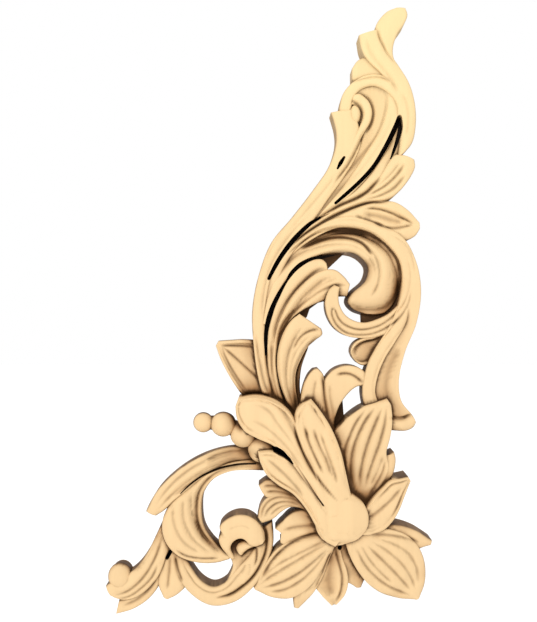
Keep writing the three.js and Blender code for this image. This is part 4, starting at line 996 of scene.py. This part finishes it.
def flattened(item):
    """The plain mesh that an object's modifiers make."""
    graph = bpy.context.evaluated_depsgraph_get()
    graph.update()
    return bpy.data.meshes.new_from_object(item.evaluated_get(graph))


def combine(whole, parts, operation):
    """Joins or cuts a collection's parts into the whole and throws them away."""
    modifier = whole.modifiers.new("combine", "BOOLEAN")
    modifier.operation = operation
    modifier.solver = "MANIFOLD"
    modifier.operand_type = "COLLECTION"
    modifier.collection = parts
    whole.data = flattened(whole)
    whole.modifiers.clear()
    for part in list(parts.objects):
        bpy.data.objects.remove(part)
    bpy.data.collections.remove(parts)


def bead_string(wood):
    """The beads, set by Geometry Nodes on points that carry each bead's radius."""
    points = bpy.data.meshes.new("bead_places")
    points.from_pydata(
        [(x * MM, -(top - radius) * MM, z * MM) for x, z, radius, top in BEADS], [], []
    )
    store(points, "radius", [bead[2] * MM for bead in BEADS])
    string = new_object("bead_string", points)

    tree = bpy.data.node_groups.new("bead_string", "GeometryNodeTree")
    face = tree.interface
    face.new_socket("Geometry", in_out="INPUT", socket_type="NodeSocketGeometry")
    turns = face.new_socket("Turns", in_out="INPUT", socket_type="NodeSocketInt")
    rings = face.new_socket("Rings", in_out="INPUT", socket_type="NodeSocketInt")
    cover = face.new_socket("Wood", in_out="INPUT", socket_type="NodeSocketMaterial")
    face.new_socket("Geometry", in_out="OUTPUT", socket_type="NodeSocketGeometry")
    start = tree.nodes.new("NodeGroupInput")
    bead = tree.nodes.new("GeometryNodeMeshUVSphere")
    bead.inputs["Radius"].default_value = 1.0
    wide = tree.nodes.new("GeometryNodeInputNamedAttribute")
    wide.data_type = "FLOAT"
    wide.inputs["Name"].default_value = "radius"
    place = tree.nodes.new("GeometryNodeInstanceOnPoints")
    real = tree.nodes.new("GeometryNodeRealizeInstances")
    paint = tree.nodes.new("GeometryNodeSetMaterial")
    end = tree.nodes.new("NodeGroupOutput")
    for giver, given, taker, taken in (
        (start, "Turns", bead, "Segments"),
        (start, "Rings", bead, "Rings"),
        (start, "Geometry", place, "Points"),
        (bead, "Mesh", place, "Instance"),
        (wide, "Attribute", place, "Scale"),
        (place, "Instances", real, "Geometry"),
        (real, "Geometry", paint, "Geometry"),
        (start, "Wood", paint, "Material"),
        (paint, "Geometry", end, "Geometry"),
    ):
        tree.links.new(giver.outputs[given], taker.inputs[taken])

    modifier = string.modifiers.new("beads", "NODES")
    modifier.node_group = tree
    modifier[turns.identifier] = BEAD_TURNS
    modifier[rings.identifier] = BEAD_RINGS
    modifier[cover.identifier] = wood
    string.data = flattened(string)
    string.modifiers.clear()
    return string


def blurred(grid, radius):
    """A grid blurred by a bell of the given radius, in cells."""
    z = np.fft.fftfreq(grid.shape[0])[:, None]
    x = np.fft.rfftfreq(grid.shape[1])[None]
    bell = np.exp(-2 * (math.pi * radius) ** 2 * (x * x + z * z))
    return np.fft.irfft2(np.fft.rfft2(grid) * bell, s=grid.shape)


def add_recess(mesh):
    """Stores how far each point lies below the carving around it, near and far, for the painted shade in
    the recesses.
    """
    points = points_of(mesh) / MM
    low = points.min(axis=0) - MAP_MARGIN
    across = ((points[:, 0] - low[0]) / MAP_CELL).astype(int)
    up = ((points[:, 2] - low[2]) / MAP_CELL).astype(int)
    beyond = int(MAP_MARGIN / MAP_CELL) + 1
    level = np.zeros((up.max() + beyond, across.max() + beyond))
    np.maximum.at(level, (up, across), -points[:, 1])
    for _ in range(MAP_FILLS):
        near = np.stack([np.roll(level, s, a) for a in (0, 1) for s in (-1, 1)])
        level = np.where(level == 0, near.max(axis=0), level)
    back = -points[:, 1] < BACK_BELOW
    for name, (radius, full) in RECESSES.items():
        cover = blurred((level > 0).astype(float), radius / MAP_CELL)
        mean = blurred(level, radius / MAP_CELL) / np.maximum(cover, LEAST_COVER)
        values = np.clip((mean[up, across] + points[:, 1]) / full, 0, 1)
        values[back] = np.minimum(values[back], MOST_AT_BACK)
        store(mesh, name, values)


def bare_wood(look):
    """Pale sanded wood with a faint grain along the arm, painted shade that browns its recesses and
    darkens its cuts, and painted light that makes it paler near the crest.
    """
    wood = bpy.data.materials.new("bare_wood")
    wood.use_nodes = True
    nodes, links = wood.node_tree.nodes, wood.node_tree.links
    shader = nodes["Principled BSDF"]
    shader.inputs["Roughness"].default_value = look.roughness
    shader.inputs["Specular IOR Level"].default_value = look.shine

    def put(socket, value):
        """Links a socket's value, or sets a plain one."""
        if isinstance(value, bpy.types.NodeSocket):
            links.new(value, socket)
        else:
            socket.default_value = value

    def between(value, low, high, start=0.0, end=1.0):
        """A number that goes from start to end as the value goes from low to high."""
        reach = nodes.new("ShaderNodeMapRange")
        settings = {"From Min": low, "From Max": high, "To Min": start, "To Max": end}
        for name, setting in settings.items():
            reach.inputs[name].default_value = setting
        links.new(value, reach.inputs["Value"])
        return reach.outputs["Result"]

    def product(first, second):
        times = nodes.new("ShaderNodeMath")
        times.operation = "MULTIPLY"
        links.new(first, times.inputs[0])
        links.new(second, times.inputs[1])
        return times.outputs["Value"]

    def blend(under, over, amount, way="MIX"):
        """One colour laid over another by an amount."""
        mix = nodes.new("ShaderNodeMix")
        mix.data_type = "RGBA"
        mix.blend_type = way
        put(mix.inputs["Factor"], amount)
        put(mix.inputs["A"], under)
        put(mix.inputs["B"], over)
        return mix.outputs["Result"]

    def stored(name, low, high):
        """A stored value as the amount of a painted shade tint, which is nought on the flat back."""
        value = nodes.new("ShaderNodeAttribute")
        value.attribute_name = name
        return product(between(value.outputs["Fac"], low, high), off_back)

    place = nodes.new("ShaderNodeTexCoord")
    apart = nodes.new("ShaderNodeSeparateXYZ")
    links.new(place.outputs["Object"], apart.inputs["Vector"])
    off_back = between(apart.outputs["Y"], -look.back_skin, -BACK_FADE * look.back_skin)
    # Painted light: the wood is painted paler toward the crest, and the painted shade in its recesses is
    # eased there, as if more light fell on the top.
    crest_light_amount = between(apart.outputs["Z"], look.painted_light_from, look.painted_light_to)
    shade_kept = between(crest_light_amount, 0, 1, 1, look.shade_left_at_crest)
    tint = blend((*look.fresh, 1), (*look.painted_crest_light, 1), crest_light_amount)
    # Painted shade: the recesses turn browner, darkest in the narrow creases, where shade falls.
    for name, low, high, colour in PAINTED_RECESS_SHADE:
        tint = blend(tint, (*getattr(look, colour), 1), product(stored(name, low, high), shade_kept))
    # Painted shade: near black down inside the narrow cuts, where shade falls.
    tint = blend(tint, (*look.cut, 1), stored("cut_shade", 0, FULL_CUT_SHADE))

    stretch = nodes.new("ShaderNodeMapping")
    stretch.inputs["Scale"].default_value = GRAIN_SCALE
    grain = nodes.new("ShaderNodeTexNoise")
    grain.inputs["Scale"].default_value = 1.0
    grain.inputs["Detail"].default_value = GRAIN_DETAIL
    links.new(place.outputs["Object"], stretch.inputs["Vector"])
    links.new(stretch.outputs["Vector"], grain.inputs["Vector"])
    streak = between(grain.outputs["Fac"], *GRAIN_RANGE, 1 - look.grain, 1)
    links.new(blend(tint, streak, 1.0, "MULTIPLY"), shader.inputs["Base Color"])
    return wood


def length_setting(name, description, default, least=0.0):
    """A setting that is a length, in metres."""
    return bpy.props.FloatProperty(
        name=name, description=description, default=default, min=least, unit="LENGTH"
    )


def colour_setting(name, description, default):
    """A setting that is a colour."""
    return bpy.props.FloatVectorProperty(
        name=name, description=description, default=default, size=3, min=0, max=1, subtype="COLOR"
    )


def share_setting(name, description, default):
    """A setting between nought and one."""
    return bpy.props.FloatProperty(
        name=name, description=description, default=default, min=0, max=1, subtype="FACTOR"
    )


class AppliqueCarving(bpy.types.PropertyGroup):
    height: length_setting("Height", "Lowest petal tip to the highest crest tip", 0.294, 0.05)
    relief: length_setting("Relief", "Flat back to the crown of the flower's cup", 0.026, 0.005)
    edge_roll: length_setting("Edge roll", "How far a carved edge is rounded over", 0.0011, 0.0002)
    fineness: length_setting("Fineness", "Distance between points across a leaf", 0.00055, 0.0003)


class AppliqueWood(bpy.types.PropertyGroup):
    fresh: colour_setting("Fresh wood", "Colour of the raised, sanded wood", (0.71, 0.5, 0.27))
    # Painted light: a paler colour for the wood near the crest, as if more light fell there.
    painted_crest_light: colour_setting(
        "Painted crest light", "Colour of the raised wood near the crest", (0.76, 0.575, 0.3)
    )
    # Where the painted light near the crest starts and where it is full.
    painted_light_from: length_setting("Painted light from", "Height above the mount where it turns paler", 0.11)
    painted_light_to: length_setting("Painted light to", "Height above the mount where it is palest", 0.24)
    # How much painted shade is left in the recesses near the crest.
    shade_left_at_crest: share_setting(
        "Painted shade at the crest", "How much of the recess tints is left near the crest", 0.34
    )
    back_skin: length_setting(
        "Back skin", "Distance from the flat back within which no recess tint shows", 0.0001
    )
    # Painted shade in the wide hollows between the leaves.
    hollow_shade: colour_setting(
        "Hollow", "Colour of the wide hollows between the leaves", (0.415, 0.225, 0.095)
    )
    # Painted shade in the narrow creases.
    crevice_shade: colour_setting("Crevice", "Colour of the narrow creases", (0.08, 0.036, 0.011))
    # Painted shade down inside the narrow cuts.
    cut: colour_setting("Cut", "Colour down inside the narrow cuts", (0.012, 0.006, 0.003))
    grain: share_setting("Grain", "How strongly the grain shows", 0.06)
    roughness: share_setting("Roughness", "How dull the sanded wood is", 0.62)
    shine: share_setting("Shine", "How strongly the sanded wood reflects", 0.15)


class AppliqueStudio(bpy.types.PropertyGroup):
    sky: bpy.props.FloatProperty(
        name="Sky", description="Strength of the even white light", default=1.0, min=0
    )
    lamp: bpy.props.FloatProperty(
        name="Lamp", description="Power of the soft front lamp", default=4.5, min=0, unit="POWER"
    )
    distance: length_setting("Camera distance", "Camera to the flat back", 0.45, 0.1)
    view_height: length_setting("View height", "Height seen across the flat back", 0.311, 0.05)


class APPLIQUE_OT_carving(bpy.types.Operator):
    """Carves the applique and hides the plain solid it stands for"""

    bl_idname = "applique.carving"
    bl_label = "Carve the applique"

    def execute(self, context):
        cut = context.scene.applique_carving
        size = {
            "depth": cut.relief / MM / DRAWN_RELIEF,
            "roll": cut.edge_roll / MM,
            "spacing": cut.fineness / MM,
            "step": 2 * cut.fineness / MM,
        }
        wood = bare_wood(context.scene.applique_wood)
        made = [(name, leaf(a, b, size, **shape)) for name, (a, b, shape) in LEAVES.items()]
        made += [(name, ball(*shape, size)) for name, shape in BALLS.items()]
        made += [(name, web(points, size)) for name, points in WEBS.items()]
        parts = gathered("parts", made)
        beads = bead_string(wood)
        parts.objects.link(beads)
        context.scene.collection.objects.unlink(beads)
        first = parts.objects[0]
        piece = new_object("carving", first.data)
        bpy.data.objects.remove(first)
        combine(piece, parts, "UNION")
        cutters = [
            (name, slit(path, widths, floor * size["depth"]))
            for name, (path, widths, floor, _) in SLITS.items()
        ]
        combine(piece, gathered("cuts", cutters), "DIFFERENCE")

        mesh = piece.data
        points = points_of(mesh)
        front = points / MM * (1, -1, 1)
        points[:, 1] = -carved_lines(front, size["depth"]) * MM
        mesh.vertices.foreach_set("co", points.ravel())
        mesh.materials.clear()
        mesh.materials.append(wood)
        for attribute in [a for a in mesh.attributes if a.name.startswith("material")]:
            mesh.attributes.remove(attribute)
        grow = cut.height / MM / DRAWN_HEIGHT
        mesh.transform(Matrix.Diagonal((grow, 1, grow, 1)))
        # Recess depths and the darkness inside the cuts, stored for the painted shade.
        add_recess(mesh)
        store(mesh, "cut_shade", cut_shade(front, size["depth"]))
        mesh.shade_smooth()
        mesh.set_sharp_from_angle(angle=SHARP_ANGLE)
        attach(piece, "root")
        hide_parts("applique")
        return {"FINISHED"}


class APPLIQUE_OT_stage(bpy.types.Operator):
    """Sets a plain pale floor, soft studio light and the camera"""

    bl_idname = "applique.stage"
    bl_label = "Set the stage"

    def execute(self, context):
        studio = context.scene.applique_studio
        floor_mesh = bpy.data.meshes.new("floor")
        level = SOLID_BOX[0][2] - FLOOR_DROP
        ways = ((-1, -1), (1, -1), (1, 1), (-1, 1))
        corners = [(x * FLOOR_REACH, y * FLOOR_REACH, level) for x, y in ways]
        floor_mesh.from_pydata(corners, [], [(0, 1, 2, 3)])
        floor = new_object("floor", floor_mesh)
        pale = bpy.data.materials.new("pale_floor")
        pale.use_nodes = True
        paint = pale.node_tree.nodes["Principled BSDF"]
        paint.inputs["Base Color"].default_value = (*[FLOOR_GREY] * 3, 1)
        paint.inputs["Roughness"].default_value = FLOOR_ROUGHNESS
        paint.inputs["Emission Color"].default_value = (1, 1, 1, 1)
        paint.inputs["Emission Strength"].default_value = FLOOR_GLOW
        floor_mesh.materials.append(pale)
        floor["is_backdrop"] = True

        world = bpy.data.worlds.new("studio")
        world.use_nodes = True
        sky = world.node_tree.nodes["Background"]
        sky.inputs["Color"].default_value = (1, 1, 1, 1)
        sky.inputs["Strength"].default_value = studio.sky
        context.scene.world = world

        lamp = bpy.data.lights.new("front_lamp", "AREA")
        lamp.energy = studio.lamp
        lamp.shape = "DISK"
        lamp.size = LAMP_SIZE
        lamp_object = bpy.data.objects.new("front_lamp", lamp)
        lamp_object.location = LAMP_PLACE
        aim = Vector(MIDDLE) - lamp_object.location
        lamp_object.rotation_euler = aim.to_track_quat("-Z", "Y").to_euler()
        context.scene.collection.objects.link(lamp_object)

        camera = bpy.data.cameras.new("camera")
        camera.sensor_fit = "AUTO"
        camera.sensor_width = SENSOR_WIDTH
        camera.lens = camera.sensor_width * studio.distance / studio.view_height
        camera.clip_start = NEAREST_SEEN
        eye = bpy.data.objects.new("camera", camera)
        eye.location = (MIDDLE[0], -studio.distance, MIDDLE[2])
        eye.rotation_euler = (math.pi / 2, 0, 0)
        context.scene.collection.objects.link(eye)
        context.scene.camera = eye
        context.scene.view_settings.view_transform = "Standard"
        context.scene.view_settings.look = "None"
        return {"FINISHED"}


class APPLIQUE_PT_panel(bpy.types.Panel):
    """Sizes, colours and steps of the applique"""

    bl_idname = "APPLIQUE_PT_panel"
    bl_label = "Carved Corner Applique"
    bl_space_type = "VIEW_3D"
    bl_region_type = "UI"
    bl_category = "Applique"

    def draw(self, context):
        for title, group, action in (
            ("Carving", context.scene.applique_carving, "applique.carving"),
            ("Wood", context.scene.applique_wood, None),
            ("Studio", context.scene.applique_studio, "applique.stage"),
        ):
            box = self.layout.box()
            box.label(text=title)
            for name in group.__annotations__:
                box.prop(group, name)
            if action:
                box.operator(action)


CLASSES = (
    AppliqueCarving,
    AppliqueWood,
    AppliqueStudio,
    APPLIQUE_OT_carving,
    APPLIQUE_OT_stage,
    APPLIQUE_PT_panel,
)


def register():
    for item in CLASSES:
        bpy.utils.register_class(item)
    scene = bpy.types.Scene
    scene.applique_carving = bpy.props.PointerProperty(type=AppliqueCarving)
    scene.applique_wood = bpy.props.PointerProperty(type=AppliqueWood)
    scene.applique_studio = bpy.props.PointerProperty(type=AppliqueStudio)


def unregister():
    scene = bpy.types.Scene
    del scene.applique_studio
    del scene.applique_wood
    del scene.applique_carving
    for item in reversed(CLASSES):
        bpy.utils.unregister_class(item)


def main():
    register()
    bpy.ops.applique.carving()
    bpy.ops.applique.stage()
    boxes = {"cad": SOLID_BOX, "visual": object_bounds()}
    boxes = {key: [list(corner) for corner in box] for key, box in boxes.items()}


if __name__ == "__main__":
    main()
